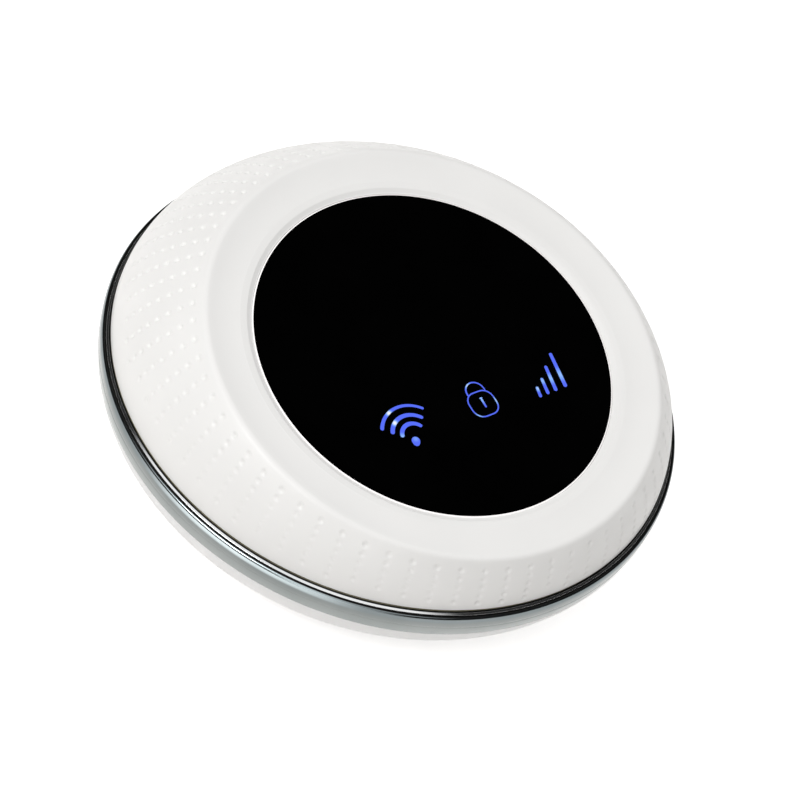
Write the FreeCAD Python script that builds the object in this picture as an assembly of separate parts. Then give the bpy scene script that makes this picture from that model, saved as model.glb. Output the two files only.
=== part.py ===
"""Puck-shaped mobile hotspot with a round, slightly tilted window face.

Frame: millimetres, +Z up, origin on the floor under the middle of the trim band. +Y is the high
side of the tilted face, where the ports are, and the user sits on the -Y side.
"""

import FreeCAD, Part
import os
from math import atan2, cos, degrees, radians, sin, sqrt, tan
from FreeCAD import Placement, Rotation, Vector

# ---- Body: a bowl with a round corner, a bright band and a domed top ----
foot_height = 0.7           # rubber feet stand this proud of the base
foot_seat = 0.5             # depth of the recess that each foot is glued into
foot_radius = 3.2           # of the recess
foot_gap = 0.06             # foot to recess
band_radius = 45.0          # largest radius of the whole puck
corner_radius = 12.3        # round corner of the bowl
corner_turn = 90.0          # degrees, from the bowl's widest level to its flat base
corner_steps = 5            # cones that make up the round corner, outside
inner_corner_steps = 2      # and inside
belly_drop = 1.7            # the bowl is widest this far below the seam
shell_wall = 1.8            # bowl wall and base
skirt_inset = 1.3           # foot of the domed skirt, behind the largest radius
skirt_wall = 2.0
skirt_bulge = 0.2           # share of the skirt's run that is straight, the rest bows outwards
skirt_steps = 5             # bands of the loft
cavity_steps = 2            # and of the room inside it
past_crest = 1.06           # share of the rise at which the loft ends; the crest is cut below it
ridge_run_out = 3.0         # the crest's cutter goes this far past it
seam_gap = 0.2              # between the band and each shell

# ---- Window face, tilted towards the user ----
face_tilt = 7.2             # degrees
face_offset = 5.5           # window centre, this far towards the user
face_rise = 11.5            # window centre, this far above the seam
shoulder = 8.1              # crest between skirt and collar, inside the foot of the skirt
ridge_rise = 1.3            # crest above the window
ridge_round = 1.1           # radius of the rounded crest
ridge_inner_slope = 14.0    # degrees, where the dish meets the crest
ridge_outer_slope = 36.0    # degrees, where the crest runs out over the skirt
lens_radius = 28.0
lens_thickness = 1.5
lens_gap = 0.06             # round the window
lip_width = 1.9             # sloping lip next to the window
lip_rise = 0.45
tape_thickness = 0.2
tape_width = 2.6
deck_thickness = 1.3        # floor under the window

# ---- Bright trim band ----
band_height = 5.4
bead_height = 1.25          # upper bead of the band
bead_proud = 1.15           # bead beyond the foot of the skirt
bead_edge = 0.4             # bevel on both edges of the bead
groove_depth = 0.35         # V groove under the bead
groove_height = 0.4
lip_thickness = 1.0         # locating lip of the bottom shell, inside the band
lip_gap = 0.1               # lip to band and to the top shell
lip_overlap = 1.2           # the lip reaches this far into the top shell

# ---- Main board ----
board_thickness = 1.0
board_gap = 0.4             # board edge to the lip
board_above_base = 8.25     # board underside above the outer base
screw_radius = 1.0
screw_length = 10.5
head_radius = 1.9
head_height = 1.3
screw_gap = 0.03            # thread to pilot hole
hole_gap = 0.3              # screw through board and bowl boss
head_gap = 0.2
head_depth = 2.8            # seat of the screw head above the outer base
pilot_spare = 0.8           # pilot hole beyond the screw's tip
boss_radius = 3.2
upper_boss_radius = 2.6
boss_x = 13.0
boss_land = 2.1             # bowl left between the cover and each foot's recess
clamp_gap = 0.05            # upper bosses to the board
drive_width = 0.5           # cross recess in the screw heads
drive_length = 2.4
drive_depth = 0.7

# ---- Battery and its cover ----
battery_length = 50.0
battery_width = 34.0
battery_height = 6.2
battery_round = 2.4
cover_length = 58.0
cover_width = 40.0
cover_round = 6.0
cover_thickness = 1.3
cover_gap = 0.2
cover_rib = 0.9             # ribs that hold the battery in its cover
cover_rib_height = 2.6
rib_gap = 0.1               # battery to rib
bay_gap = 0.4               # battery or ribs to the bay
bay_wall = 1.2
bay_roof = 0.6
notch_radius = 6.0          # scoop for a fingernail at one end of the cover
notch_depth = 0.9
notch_length = 13.0
contact_block = 2.2         # spring contact block at the battery's end
contact_width = 12.0
contact_height = 5.4        # block below the top of the battery
contact_reach = 0.9
contact_pitch = 3.0
contact_blade = 1.2
contact_rise = 2.1          # height of each contact
contact_nose = 0.5          # bevel on the contacts
contact_gap = 0.1

# ---- Ports and controls, all through the band ----
usb_width = 7.5
usb_height = 2.5
usb_length = 5.3
usb_wall = 0.3
usb_set_back = 0.7          # mouth behind the band's largest radius
usb_tongue_width = 3.7
usb_tongue_thickness = 0.6
usb_tongue_length = 3.6
usb_corner = 1.1            # slanted lower corners of the socket
port_gap = 0.25
button_width = 6.4
button_height = 2.4
button_proud = 0.6
button_travel = 0.4
button_gap = 0.15
button_wing = 1.4           # flange behind the lip, each side
button_flange = 0.8
button_azimuths = {"power": 66.0, "pairing": 114.0}
switch_width = 6.0
switch_length = 3.5
switch_height = 2.1
plunger_width = 2.6
plunger_height = 1.2
plunger_gap = 0.1
plunger_play = 0.05         # plunger to button
switch_play = 0.3           # pressed button to switch body
plunger_well = 1.2          # depth of the switch's well
reset_azimuth = 40.0
reset_hole_radius = 0.6
tray_width = 10.6
tray_length = 14.4
tray_thickness = 0.9
tray_face_width = 13.0
tray_face_height = 2.4
tray_gap = 0.2
pin_hole_radius = 0.45      # for the pin that frees the tray
pin_hole_inset = 1.8        # from the end of the tray's face
card_length = 12.3
card_width = 8.8
card_thickness = 0.67
card_gap = 0.1
card_ledge = 0.8
card_corner = 1.5
socket_wall = 0.25
socket_gap = 0.15

# ---- Lights and radio ----
icon_x = (-11.0, 3.0, 14.8)      # windows on the face, from its centre
icon_y = (-8.6, -9.7, -9.3)
window_width = 8.4
window_height = 7.6
window_gap = 0.15
mask_opening = (7.2, 6.4)
mask_margin = 2.0           # film beyond the windows
mask_gap = 0.1              # film to the tape ring, which trims its corners
guide_plate = 1.0
guide_margin = 1.0
guide_top = (5.6, 4.6)
guide_foot = (3.0, 3.0)
guide_clear = 0.4           # column foot above its light
stake_radius = 0.8
stake_gap = 0.05
led_size = (2.0, 1.25, 0.7)
can_wall = 0.25
cans = {                    # centre x, y, length, width, height
    "radio_shield": (-15.5, 4.0, 20.0, 16.0, 1.9),
    "modem_shield": (9.5, 5.0, 24.0, 18.0, 2.1),
}
chips = {                   # centre x, y, length, width, height
    "radio_chip": (-16.5, 4.5, 9.0, 8.0, 1.0),
    "modem_chip": (8.0, 5.0, 12.0, 12.0, 1.2),
}
carrier_inset = 4.0         # outer face of the antenna carrier, behind the locating lip
carrier_wall = 1.2
carrier_height = 7.4
carrier_azimuths = (140.0, 340.0)
antenna_thickness = 0.25
antenna_margin = 0.8
antenna_azimuths = {
    "main_antenna": (146.0, 204.0),
    "diversity_antenna": (216.0, 262.0),
    "wifi_antenna": (300.0, 334.0),
}
slot_width = 0.8            # slots that shape each antenna's path
slot_share = 0.7            # of the foil's height
carrier_base = 2.5          # height of the ring that joins the carrier's walls

# ---- Levels and radii worked out from the sizes above ----
base_z = foot_height
corner_z = base_z + corner_radius
corner_ring = band_radius - corner_radius
skirt_radius = band_radius - skirt_inset
ridge_radius = skirt_radius - shoulder
seam_z = corner_z + belly_drop
band_top = seam_z - seam_gap
band_bottom = band_top - band_height
rim_z = band_bottom - seam_gap
belt_top = band_top - bead_height
bead_radius = skirt_radius + bead_proud
band_inner = skirt_radius - lip_thickness
lip_outer = band_inner - lip_gap
lip_inner = lip_outer - lip_thickness
floor_z = base_z + shell_wall
board_z = base_z + board_above_base
board_top = board_z + board_thickness
board_radius = lip_inner - board_gap
carrier_radius = lip_inner - carrier_inset
boss_y = cover_width / 2 + cover_gap + foot_radius + boss_land
port_z = (band_bottom + belt_top) / 2
lip_top = seam_z + lip_overlap
face_z = seam_z + face_rise
pocket_depth = lens_thickness + tape_thickness
deck_underside = pocket_depth + deck_thickness
head_seat = base_z + head_depth
screw_tip = head_seat + screw_length
cover_top = base_z + cover_thickness
battery_top = cover_top + battery_height
icon_windows = list(zip(icon_x, icon_y))
REACH = 4 * band_radius     # longer than anything, for cutting tools

UP = Vector(0, 0, 1)
FACE = Placement(Vector(0, -face_offset, face_z), Rotation(Vector(1, 0, 0), face_tilt))


# ---- Small shape helpers ----
def cylinder(radius, low, high, x=0.0, y=0.0):
    return Part.makeCylinder(radius, high - low, Vector(x, y, low), UP)


def tube(outer, inner, low, high):
    return cylinder(outer, low, high).cut(cylinder(inner, low, high))


def block(x_range, y_range, z_range):
    low = Vector(x_range[0], y_range[0], z_range[0])
    return Part.makeBox(x_range[1] - x_range[0], y_range[1] - y_range[0], z_range[1] - z_range[0], low)


def centred(x, y, length, width, low, high):
    return block((x - length / 2, x + length / 2), (y - width / 2, y + width / 2), (low, high))


def runs_along(edge, axis):
    """True for a straight edge along "x", "y" or "z"."""
    return abs(getattr(edge.tangentAt(edge.FirstParameter), axis)) > 0.99


def rounded_slab(length, width, radius, low, high, x=0.0, y=0.0):
    """Upright prism with a rounded rectangle for its plan."""
    slab = centred(x, y, length, width, low, high)
    upright = [e for e in slab.Edges if runs_along(e, "z")]
    return slab.makeFillet(radius, upright)


def revolved(edges):
    """Turn a closed outline in the XZ plane once round the Z axis."""
    return Part.Face(Part.Wire(edges)).revolve(Vector(0, 0, 0), UP, 360)


def line(start, end):
    return Part.makeLine(Vector(start[0], 0, start[1]), Vector(end[0], 0, end[1]))


def arc(start, middle, end):
    return Part.Arc(*[Vector(p[0], 0, p[1]) for p in (start, middle, end)]).toShape()


def chain(points):
    """Straight edges from each point to the next."""
    return [line(a, b) for a, b in zip(points, points[1:])]


def on_face(shape):
    """Carry a shape from the window's own frame, with its top face at height 0, to the body."""
    moved = shape.copy()
    moved.Placement = FACE.multiply(moved.Placement)
    return moved


def at_azimuth(shape, azimuth):
    turned = shape.copy()
    turned.rotate(Vector(0, 0, 0), UP, azimuth)
    return turned


def below_face(depth):
    """Everything lower than this depth under the window's top face."""
    return on_face(cylinder(REACH, -REACH, -depth))


def pill(width, height, low, high):
    """Prism along +X with round ends, centred at the port height."""
    radius = height / 2
    flat = centred(0, 0, height, width - height, low, high)
    ends = [cylinder(radius, low, high, 0, side * (width - height) / 2) for side in (-1, 1)]
    shape = flat.fuse(ends).removeSplitter()
    shape.rotate(Vector(0, 0, 0), Vector(0, 1, 0), 90)
    shape.translate(Vector(0, 0, port_z))
    return shape


def union(shapes):
    return shapes[0].fuse(shapes[1:]).removeSplitter()


# ---- Bowl profile ----
def bowl_point(angle, inset=0.0):
    """Point of the bowl's round corner, angle in degrees below the widest level."""
    reach = corner_radius - inset
    return (corner_ring + reach * cos(radians(angle)), corner_z - reach * sin(radians(angle)))


def bowl_angle(z, inset=0.0):
    return degrees(atan2(corner_z - z, sqrt((corner_radius - inset) ** 2 - (corner_z - z) ** 2)))


def bowl_radius(z, inset=0.0):
    return bowl_point(bowl_angle(z, inset), inset)[0]


def bowl_chords(angle, inset, steps):
    """Points down the round corner, from an angle to the flat base."""
    turn = (corner_turn - angle) / steps
    return [bowl_point(angle + turn * i, inset) for i in range(steps + 1)]


def bowl_solid(grow=0.0):
    """The whole lower body as one solid, up to the seam, grown outwards by a margin."""
    top = seam_z
    start = bowl_point(bowl_angle(top, -grow), -grow)
    middle = bowl_point((bowl_angle(top, -grow) + corner_turn) / 2, -grow)
    end = bowl_point(corner_turn, -grow)
    return revolved([arc(start, middle, end), line(end, (0, end[1])), line((0, end[1]), (0, top)),
                     line((0, top), start)])


# ---- Skirt: ellipses carried from the seam circle to the tilted crest circle ----
def skirt_section(share, base, crest):
    """Outline of the skirt at a share of the way from the seam to the crest."""
    inwards = skirt_bulge * share + (1 - skirt_bulge) * share * share
    tilt = radians(face_tilt)
    centre_y = -face_offset - ridge_rise * sin(tilt)
    centre_z = face_rise + ridge_rise * cos(tilt)
    half_x = base + (crest - base) * inwards
    half_y = base * (1 - inwards) + crest * cos(tilt) * inwards
    lean = crest * sin(tilt) * share
    centre = Vector(0, centre_y * inwards, seam_z + centre_z * share)
    along = Vector(0, half_y, lean)
    across = Vector(1, 0, 0)
    long_half, short_half = along.Length, half_x
    if long_half < short_half:
        curve = Part.Ellipse(centre + across * short_half, centre + along, centre)
    else:
        curve = Part.Ellipse(centre + along, centre + across * short_half, centre)
    return Part.Wire(curve.toShape())


def skirt_solid(base, crest, top_share, steps):
    sections = [skirt_section(top_share * i / steps, base, crest) for i in range(steps + 1)]
    return Part.makeLoft(sections, True, True)


def collar_profile():
    """Outline of what is cut away above the collar, in the window's frame.

    From the window outwards: a sloping lip, a dish that climbs, and the crest, rounded in two
    steps whose ends are tangent to the dish and to the run-out over the skirt.
    """
    rise, fall = radians(ridge_inner_slope), radians(ridge_outer_slope)
    tangent = ridge_round * tan((rise + fall) / 2)
    start = (ridge_radius - tangent * cos(rise), ridge_rise - tangent * sin(rise))
    end = (ridge_radius + tangent * cos(fall), ridge_rise - tangent * sin(fall))
    centre = (start[0] + ridge_round * sin(rise), start[1] - ridge_round * cos(rise))
    turn = (fall - rise) / 2
    middle = (centre[0] + ridge_round * sin(turn), centre[1] + ridge_round * cos(turn))
    lip_end = (lens_radius + lens_gap + lip_width, lip_rise)
    # The dish follows an arc that ends at the crest's inner slope, so its sag is a quarter of
    # what it would rise at that slope beyond its true rise.
    run = start[0] - lip_end[0]
    sag = (run * tan(rise) - (start[1] - lip_end[1])) / 4
    dish_middle = ((lip_end[0] + start[0]) / 2, (lip_end[1] + start[1]) / 2 - sag)
    run_out = (end[0] + ridge_run_out * cos(fall), end[1] - ridge_run_out * sin(fall))
    above = ridge_rise + ridge_run_out
    outline = [(lens_radius + lens_gap, 0), lip_end, dish_middle, start, middle, end, run_out,
               (run_out[0], above), (0, above), (0, 0)]
    return chain(outline + outline[:1])


def make_top_shell():
    body = skirt_solid(skirt_radius, ridge_radius, past_crest, skirt_steps)
    body = body.cut(on_face(revolved(collar_profile())))
    cavity = skirt_solid(lip_inner, ridge_radius - skirt_wall, 1.0, cavity_steps)
    body = body.cut(cavity.common(below_face(deck_underside)))
    body = body.cut(cylinder(band_inner, seam_z - 1, lip_top + lip_gap))
    body = body.cut(on_face(cylinder(lens_radius + lens_gap, -pocket_depth, 1)))
    # Screw bosses hang from the deck and clamp the board.
    under_deck = below_face(pocket_depth + deck_thickness / 2)
    for x, y in boss_places():
        boss = cylinder(upper_boss_radius, board_top + clamp_gap, seam_z + REACH, x, y)
        body = body.fuse(boss.common(under_deck))
    for x, y in boss_places():
        body = body.cut(cylinder(screw_radius + screw_gap, board_top, screw_tip + pilot_spare, x, y))
    for x, y in icon_windows:
        body = body.cut(on_face(centred(x, y, window_width, window_height, -deck_underside - 1, 0)))
    for x, y in stake_places():
        tip, root = -deck_underside - guide_plate, -pocket_depth - deck_thickness / 2
        body = body.fuse(on_face(cylinder(stake_radius, tip, root, x, y)))
    return body.removeSplitter()


def boss_places():
    return [(sx * boss_x, sy * boss_y) for sx in (-1, 1) for sy in (-1, 1)]


def stake_places():
    """Heat stakes for the light guide, between neighbouring windows."""
    pairs = zip(icon_windows, icon_windows[1:])
    return [((a[0] + b[0]) / 2, (a[1] + b[1]) / 2) for a, b in pairs]


# ---- Window stack ----
def make_lens():
    return on_face(cylinder(lens_radius, -lens_thickness, 0))


def make_tape():
    inner = lens_radius - tape_width
    return on_face(tube(lens_radius - lens_gap, inner, -pocket_depth, -lens_thickness))


def window_field(margin):
    """Ranges of x and y that take in every window, with a margin round them."""
    xs = [x for x, _ in icon_windows]
    ys = [y for _, y in icon_windows]
    return ((min(xs) - window_width / 2 - margin, max(xs) + window_width / 2 + margin),
            (min(ys) - window_height / 2 - margin, max(ys) + window_height / 2 + margin))


def make_mask():
    """Printed film under the window, open where the symbols shine through."""
    film = block(*window_field(mask_margin), (-pocket_depth, -lens_thickness))
    film = film.common(cylinder(lens_radius - tape_width - mask_gap, -pocket_depth, -lens_thickness))
    for x, y in icon_windows:
        film = film.cut(centred(x, y, *mask_opening, -pocket_depth, -lens_thickness))
    return on_face(film)


def light_places():
    """Where each symbol's middle lies, seen from above."""
    spots = [FACE.multVec(Vector(x, y, -deck_underside)) for x, y in icon_windows]
    return [(spot.x, spot.y) for spot in spots]


def rectangle(centre, length, width):
    """Corners of a level rectangle, in order round it."""
    return [centre + Vector(sx * length / 2, sy * width / 2, 0)
            for sx, sy in ((-1, -1), (1, -1), (1, 1), (-1, 1))]


def frustum(lower, upper):
    """Solid with flat faces between two rectangles whose sides are parallel."""
    sides = zip(lower, lower[1:] + lower[:1], upper[1:] + upper[:1], upper)
    outlines = [lower, upper] + [list(side) for side in sides]
    return Part.Solid(Part.Shell([Part.Face(Part.makePolygon(o + o[:1])) for o in outlines]))


def make_light_guide():
    plate = block(*window_field(guide_margin), (-deck_underside - guide_plate, -deck_underside))
    for x, y in stake_places():
        plate = plate.cut(cylinder(stake_radius + stake_gap, -REACH, 0, x, y))
    pads = [centred(x, y, window_width - 2 * window_gap, window_height - 2 * window_gap,
                    -deck_underside, -pocket_depth) for x, y in icon_windows]
    body = on_face(union([plate] + pads))
    # A tapered column carries each light up to the tilted plate. Its far end is parallel to the
    # plate and lies under the board's top, and the column is then cut level above its light.
    root = -deck_underside - guide_plate / 2
    above_lights = block((-REACH, REACH), (-REACH, REACH), (board_top + led_size[2] + guide_clear, REACH))
    for (x, y), (light_x, light_y) in zip(icon_windows, light_places()):
        foot = FACE.inverse().multVec(Vector(light_x, light_y, board_top))
        column = frustum(rectangle(foot, *guide_foot), rectangle(Vector(x, y, root), *guide_top))
        body = body.fuse(on_face(column).common(above_lights))
    return body.removeSplitter()


def make_leds():
    length, width, height = led_size
    return Part.makeCompound([centred(x, y, length, width, board_top, board_top + height)
                              for x, y in light_places()])


# ---- Band and bowl, and the ports cut through both ----
def usb_outline(grow=0.0):
    """Socket outline in the YZ plane: a rectangle whose lower corners slant in."""
    half, low, high = usb_width / 2 + grow, board_top - grow, board_top + usb_height + grow
    return [(-half + usb_corner, low), (half - usb_corner, low), (half, low + usb_corner),
            (half, high), (-half, high), (-half, low + usb_corner)]


def usb_prism(grow, near, far):
    points = [Vector(near, y, z) for y, z in usb_outline(grow)]
    face = Part.Face(Part.makePolygon(points + points[:1]))
    return at_azimuth(face.extrude(Vector(far - near, 0, 0)), 90)


def port_cuts():
    """Every opening through the band and the lips behind it."""
    near = lip_inner - lip_thickness
    cuts = [usb_prism(port_gap, near, REACH)]
    hole = pill(button_width + 2 * button_gap, button_height + 2 * button_gap, near, REACH)
    cuts += [at_azimuth(hole, azimuth) for azimuth in button_azimuths.values()]
    cuts.append(pill(tray_face_width + 2 * tray_gap, tray_face_height + 2 * tray_gap, near, REACH))
    pin = Part.makeCylinder(reset_hole_radius, REACH, Vector(near, 0, port_z), Vector(1, 0, 0))
    cuts.append(at_azimuth(pin, reset_azimuth))
    return cuts


def make_band():
    bead_low, groove_low = belt_top, belt_top - groove_height
    waist = bowl_radius(belt_top) - groove_depth
    belt = [(bowl_radius(z), z) for z in (groove_low, (groove_low + band_bottom) / 2, band_bottom)]
    profile = [(band_inner, band_bottom), (band_inner, band_top), (bead_radius - bead_edge, band_top),
               (bead_radius, band_top - bead_edge), (bead_radius, bead_low + bead_edge),
               (bead_radius - bead_edge, bead_low), (waist, (bead_low + groove_low) / 2)] + belt
    body = revolved(chain(profile + profile[:1]))
    for cut in port_cuts():
        body = body.cut(cut)
    return body


def make_bottom_shell():
    knee_cos = (lip_inner - corner_ring) / (corner_radius - shell_wall)
    knee = (lip_inner, corner_z - (corner_radius - shell_wall) * sqrt(1 - knee_cos ** 2))
    inside = bowl_chords(bowl_angle(knee[1], shell_wall), shell_wall, inner_corner_steps)
    outside = bowl_chords(bowl_angle(rim_z), 0, corner_steps)
    profile = outside + [(0, base_z), (0, floor_z)] + inside[::-1]
    profile += [(lip_inner, lip_top), (lip_outer, lip_top), (lip_outer, rim_z)]
    body = revolved(chain(profile + profile[:1]))
    # Battery bay: a roofed tub round the opening for the battery and its cover.
    body = body.fuse(bay_shapes(bay_wall, base_z, board_z))
    body = body.cut(bay_shapes(0, base_z - 1, board_z - bay_roof))
    body = body.cut(centred(contact_x(), 0, contact_block + 2 * cover_gap,
                            contact_width + 2 * cover_gap, board_z - bay_roof - 1, board_z + 1))
    recess = rounded_slab(cover_length + 2 * cover_gap, cover_width + 2 * cover_gap,
                          cover_round + cover_gap, base_z - 1, cover_top + cover_gap / 2)
    body = body.cut(recess)
    for x, y in boss_places():
        body = body.fuse(cylinder(boss_radius, floor_z - shell_wall / 2, board_z, x, y))
    for x, y in boss_places():
        body = body.cut(cylinder(foot_radius, base_z - 1, base_z + foot_seat, x, y))
        body = body.cut(cylinder(head_radius + head_gap, base_z - 1, head_seat, x, y))
        body = body.cut(cylinder(screw_radius + hole_gap, base_z, board_z + 1, x, y))
    body = body.cut(notch())
    for cut in port_cuts():
        body = body.cut(cut)
    return body.removeSplitter()


def contact_x():
    """Middle of the contact block."""
    return -battery_length / 2 - contact_gap - contact_reach - contact_block / 2


def bay_shapes(grow, low, high):
    """Room for the battery between its ribs, and a niche at one end for the contact block."""
    half_x = battery_length / 2 + bay_gap + grow
    half_y = battery_width / 2 + cover_rib + bay_gap + grow
    niche_end = contact_x() - contact_block / 2 - cover_gap - grow
    niche_half = contact_width / 2 + cover_gap + grow
    return [block((-half_x, half_x), (-half_y, half_y), (low, high)),
            block((niche_end, 0), (-niche_half, niche_half), (low, high))]


def notch():
    """Scoop for a fingernail, half in the cover's end and half in the bowl."""
    centre = Vector(cover_length / 2 + cover_gap, -notch_length / 2, base_z + notch_depth - notch_radius)
    return Part.makeCylinder(notch_radius, notch_length, centre, Vector(0, 1, 0))


# ---- Battery, cover and contacts ----
def make_battery():
    pack = centred(0, 0, battery_length, battery_width, cover_top, battery_top)
    long_edges = [e for e in pack.Edges if runs_along(e, "x")]
    return pack.makeFillet(battery_round, long_edges)


def make_cover():
    plate = rounded_slab(cover_length, cover_width, cover_round, base_z, cover_top)
    body = plate.common(bowl_solid())
    y = battery_width / 2 + rib_gap + cover_rib / 2
    ribs = [centred(0, side * y, battery_length, cover_rib, cover_top - cover_thickness / 2,
                    cover_top + cover_rib_height) for side in (-1, 1)]
    return union([body] + ribs).cut(notch())


def make_contacts():
    low = battery_top - contact_height
    body = centred(contact_x(), 0, contact_block, contact_width, low, board_z)
    tip = -battery_length / 2 - contact_gap
    middle = low + contact_height / 2
    for step in (-1, 0, 1):
        blade = centred(tip - contact_reach / 2, step * contact_pitch, contact_reach, contact_blade,
                        middle - contact_rise / 2, middle + contact_rise / 2)
        nose = [e for e in blade.Edges if runs_along(e, "y") and e.BoundBox.XMin > tip - contact_gap]
        body = body.fuse(blade.makeChamfer(contact_nose, nose))
    return body.removeSplitter()


# ---- Board and what stands on it ----
def make_board():
    board = cylinder(board_radius, board_z, board_top)
    for x, y in boss_places():
        board = board.cut(cylinder(screw_radius + hole_gap, board_z, board_top, x, y))
    return board


def make_can(x, y, length, width, height):
    outer = rounded_slab(length, width, 2 * can_wall, board_top, board_top + height, x, y)
    inner = centred(x, y, length - 2 * can_wall, width - 2 * can_wall, board_top,
                    board_top + height - can_wall)
    return outer.cut(inner)


def make_chip(x, y, length, width, height):
    return centred(x, y, length, width, board_top, board_top + height)


def ring_part(inner, outer, low, high, span):
    """Part of a ring between two azimuths."""
    start, end = span
    ring = tube(outer, inner, low, high)
    wedge = Part.makeCylinder(REACH, high - low, Vector(0, 0, low), UP, end - start)
    return ring.common(at_azimuth(wedge, start))


def make_carrier():
    inner = carrier_radius - carrier_wall
    low = ring_part(inner, carrier_radius, board_top, board_top + carrier_base, carrier_azimuths)
    walls = [ring_part(inner, carrier_radius, board_top, board_top + carrier_height, span)
             for span in antenna_azimuths.values()]
    return union([low] + walls)


def make_antenna(span):
    """Thin foil on the carrier's outer face, slotted into one folded path."""
    start, end = span
    low = board_top + antenna_margin
    high = board_top + carrier_height - antenna_margin
    foil = ring_part(carrier_radius, carrier_radius + antenna_thickness, low, high, span)
    third = (end - start) / 3   # two slots, one from each edge, leave three legs
    reach = (high - low) * slot_share
    slot = block((carrier_radius - 1, carrier_radius + 1), (-slot_width / 2, slot_width / 2), (0, reach))
    for step, level in ((1, low), (2, high - reach)):
        moved = slot.copy()
        moved.translate(Vector(0, 0, level))
        foil = foil.cut(at_azimuth(moved, start + step * third))
    return foil


# ---- USB socket ----
def make_usb_shell():
    mouth = band_radius - usb_set_back
    shell = usb_prism(0, mouth - usb_length, mouth)
    return shell.cut(usb_prism(-usb_wall, mouth - usb_length + usb_wall, mouth + 1))


def make_usb_tongue():
    back = band_radius - usb_set_back - usb_length + usb_wall
    middle = board_top + usb_height / 2
    tongue = block((back, back + usb_tongue_length), (-usb_tongue_width / 2, usb_tongue_width / 2),
                   (middle, middle + usb_tongue_thickness))
    return at_azimuth(tongue, 90)


# ---- Buttons and switches, modelled along +X and turned to their azimuth ----
def make_button(azimuth):
    stem = pill(button_width, button_height, lip_inner - button_flange, REACH)
    cap = stem.common(bowl_solid(button_proud))
    wings = block((lip_inner - clamp_gap - button_flange, lip_inner - clamp_gap),
                  (-button_width / 2 - button_wing, button_width / 2 + button_wing),
                  (port_z - button_height / 2, port_z + button_height / 2))
    wings = wings.common(tube(lip_inner - clamp_gap, button_back(), 0, REACH))
    return at_azimuth(union([cap.cut(cylinder(button_back(), 0, REACH)), wings]), azimuth)


def button_back():
    return lip_inner - clamp_gap - button_flange


def switch_front():
    return button_back() - plunger_play - button_travel - switch_play


def make_switch(azimuth):
    front = switch_front()
    body = block((front - switch_length, front), (-switch_width / 2, switch_width / 2),
                 (board_top, board_top + switch_height))
    half_width, half_height = plunger_width / 2 + plunger_gap, plunger_height / 2 + plunger_gap
    well = block((front - plunger_well, front + 1), (-half_width, half_width),
                 (port_z - half_height, port_z + half_height))
    return at_azimuth(body.cut(well), azimuth)


def make_plunger(azimuth):
    front = button_back() - plunger_play
    half = plunger_width / 2
    start = switch_front() - button_travel
    plunger = block((start, front + plunger_play), (-half, half),
                    (port_z - plunger_height / 2, port_z + plunger_height / 2))
    return at_azimuth(plunger.common(cylinder(front, 0, REACH)), azimuth)


def make_reset_switch():
    front = switch_front()
    body = block((front - switch_length, front), (-switch_width / 2, switch_width / 2),
                 (board_top, board_top + switch_height))
    knob = block((front, front + button_travel),
                 (-plunger_width / 2, plunger_width / 2),
                 (port_z - plunger_height / 2, port_z + plunger_height / 2))
    return at_azimuth(union([body, knob]), reset_azimuth)


# ---- SIM tray and socket ----
def tray_start():
    return lip_inner - tray_length


def tray_levels():
    return port_z - tray_thickness / 2, port_z + tray_thickness / 2


def make_tray():
    low, high = tray_levels()
    start = tray_start()
    plate = block((start, lip_inner + 1), (-tray_width / 2, tray_width / 2), (low, high))
    corners = [e for e in plate.Edges if runs_along(e, "z") and e.BoundBox.XMax < start + tray_gap]
    plate = plate.makeFillet(card_corner / 2, corners)
    face = pill(tray_face_width, tray_face_height, lip_inner, REACH).common(bowl_solid())
    body = union([plate, face])
    body = body.cut(card_shape(card_gap, high - card_thickness, high + 1))
    body = body.cut(card_shape(-card_ledge, low - 1, high))
    pin_start = Vector(lip_inner - 1, tray_face_width / 2 - pin_hole_inset, port_z)
    return body.cut(Part.makeCylinder(pin_hole_radius, REACH, pin_start, Vector(1, 0, 0)))


def card_shape(grow, low, high):
    """Nano card outline with one cut corner, grown by a margin."""
    near = tray_start() + card_ledge + card_gap - grow
    far = near + card_length + 2 * grow
    half = card_width / 2 + grow
    cut = card_corner
    points = [Vector(near, -half, low), Vector(far - cut, -half, low), Vector(far, -half + cut, low),
              Vector(far, half, low), Vector(near, half, low)]
    return Part.Face(Part.makePolygon(points + points[:1])).extrude(Vector(0, 0, high - low))


def make_card():
    high = tray_levels()[1]
    return card_shape(0, high - card_thickness, high)


def make_sim_socket():
    high = tray_levels()[1]
    start, end = tray_start() - socket_gap - socket_wall, board_radius - button_flange
    half = tray_width / 2 + socket_gap
    outer = block((start, end), (-half - socket_wall, half + socket_wall),
                  (board_top, high + socket_gap + socket_wall))
    inner = block((start + socket_wall, end + 1), (-half, half), (board_top - 1, high + socket_gap))
    return outer.cut(inner)


# ---- Fasteners and feet ----
def make_screws():
    screws = []
    for x, y in boss_places():
        low = head_seat - head_height
        screw = union([cylinder(head_radius, low, head_seat, x, y),
                       cylinder(screw_radius, head_seat, screw_tip, x, y)])
        for length, width in ((drive_length, drive_width), (drive_width, drive_length)):
            screw = screw.cut(centred(x, y, length, width, low - 1, low + drive_depth))
        screws.append(screw)
    return Part.makeCompound(screws)


def make_feet():
    return Part.makeCompound([cylinder(foot_radius - foot_gap, 0, base_z + foot_seat, x, y)
                              for x, y in boss_places()])


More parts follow.
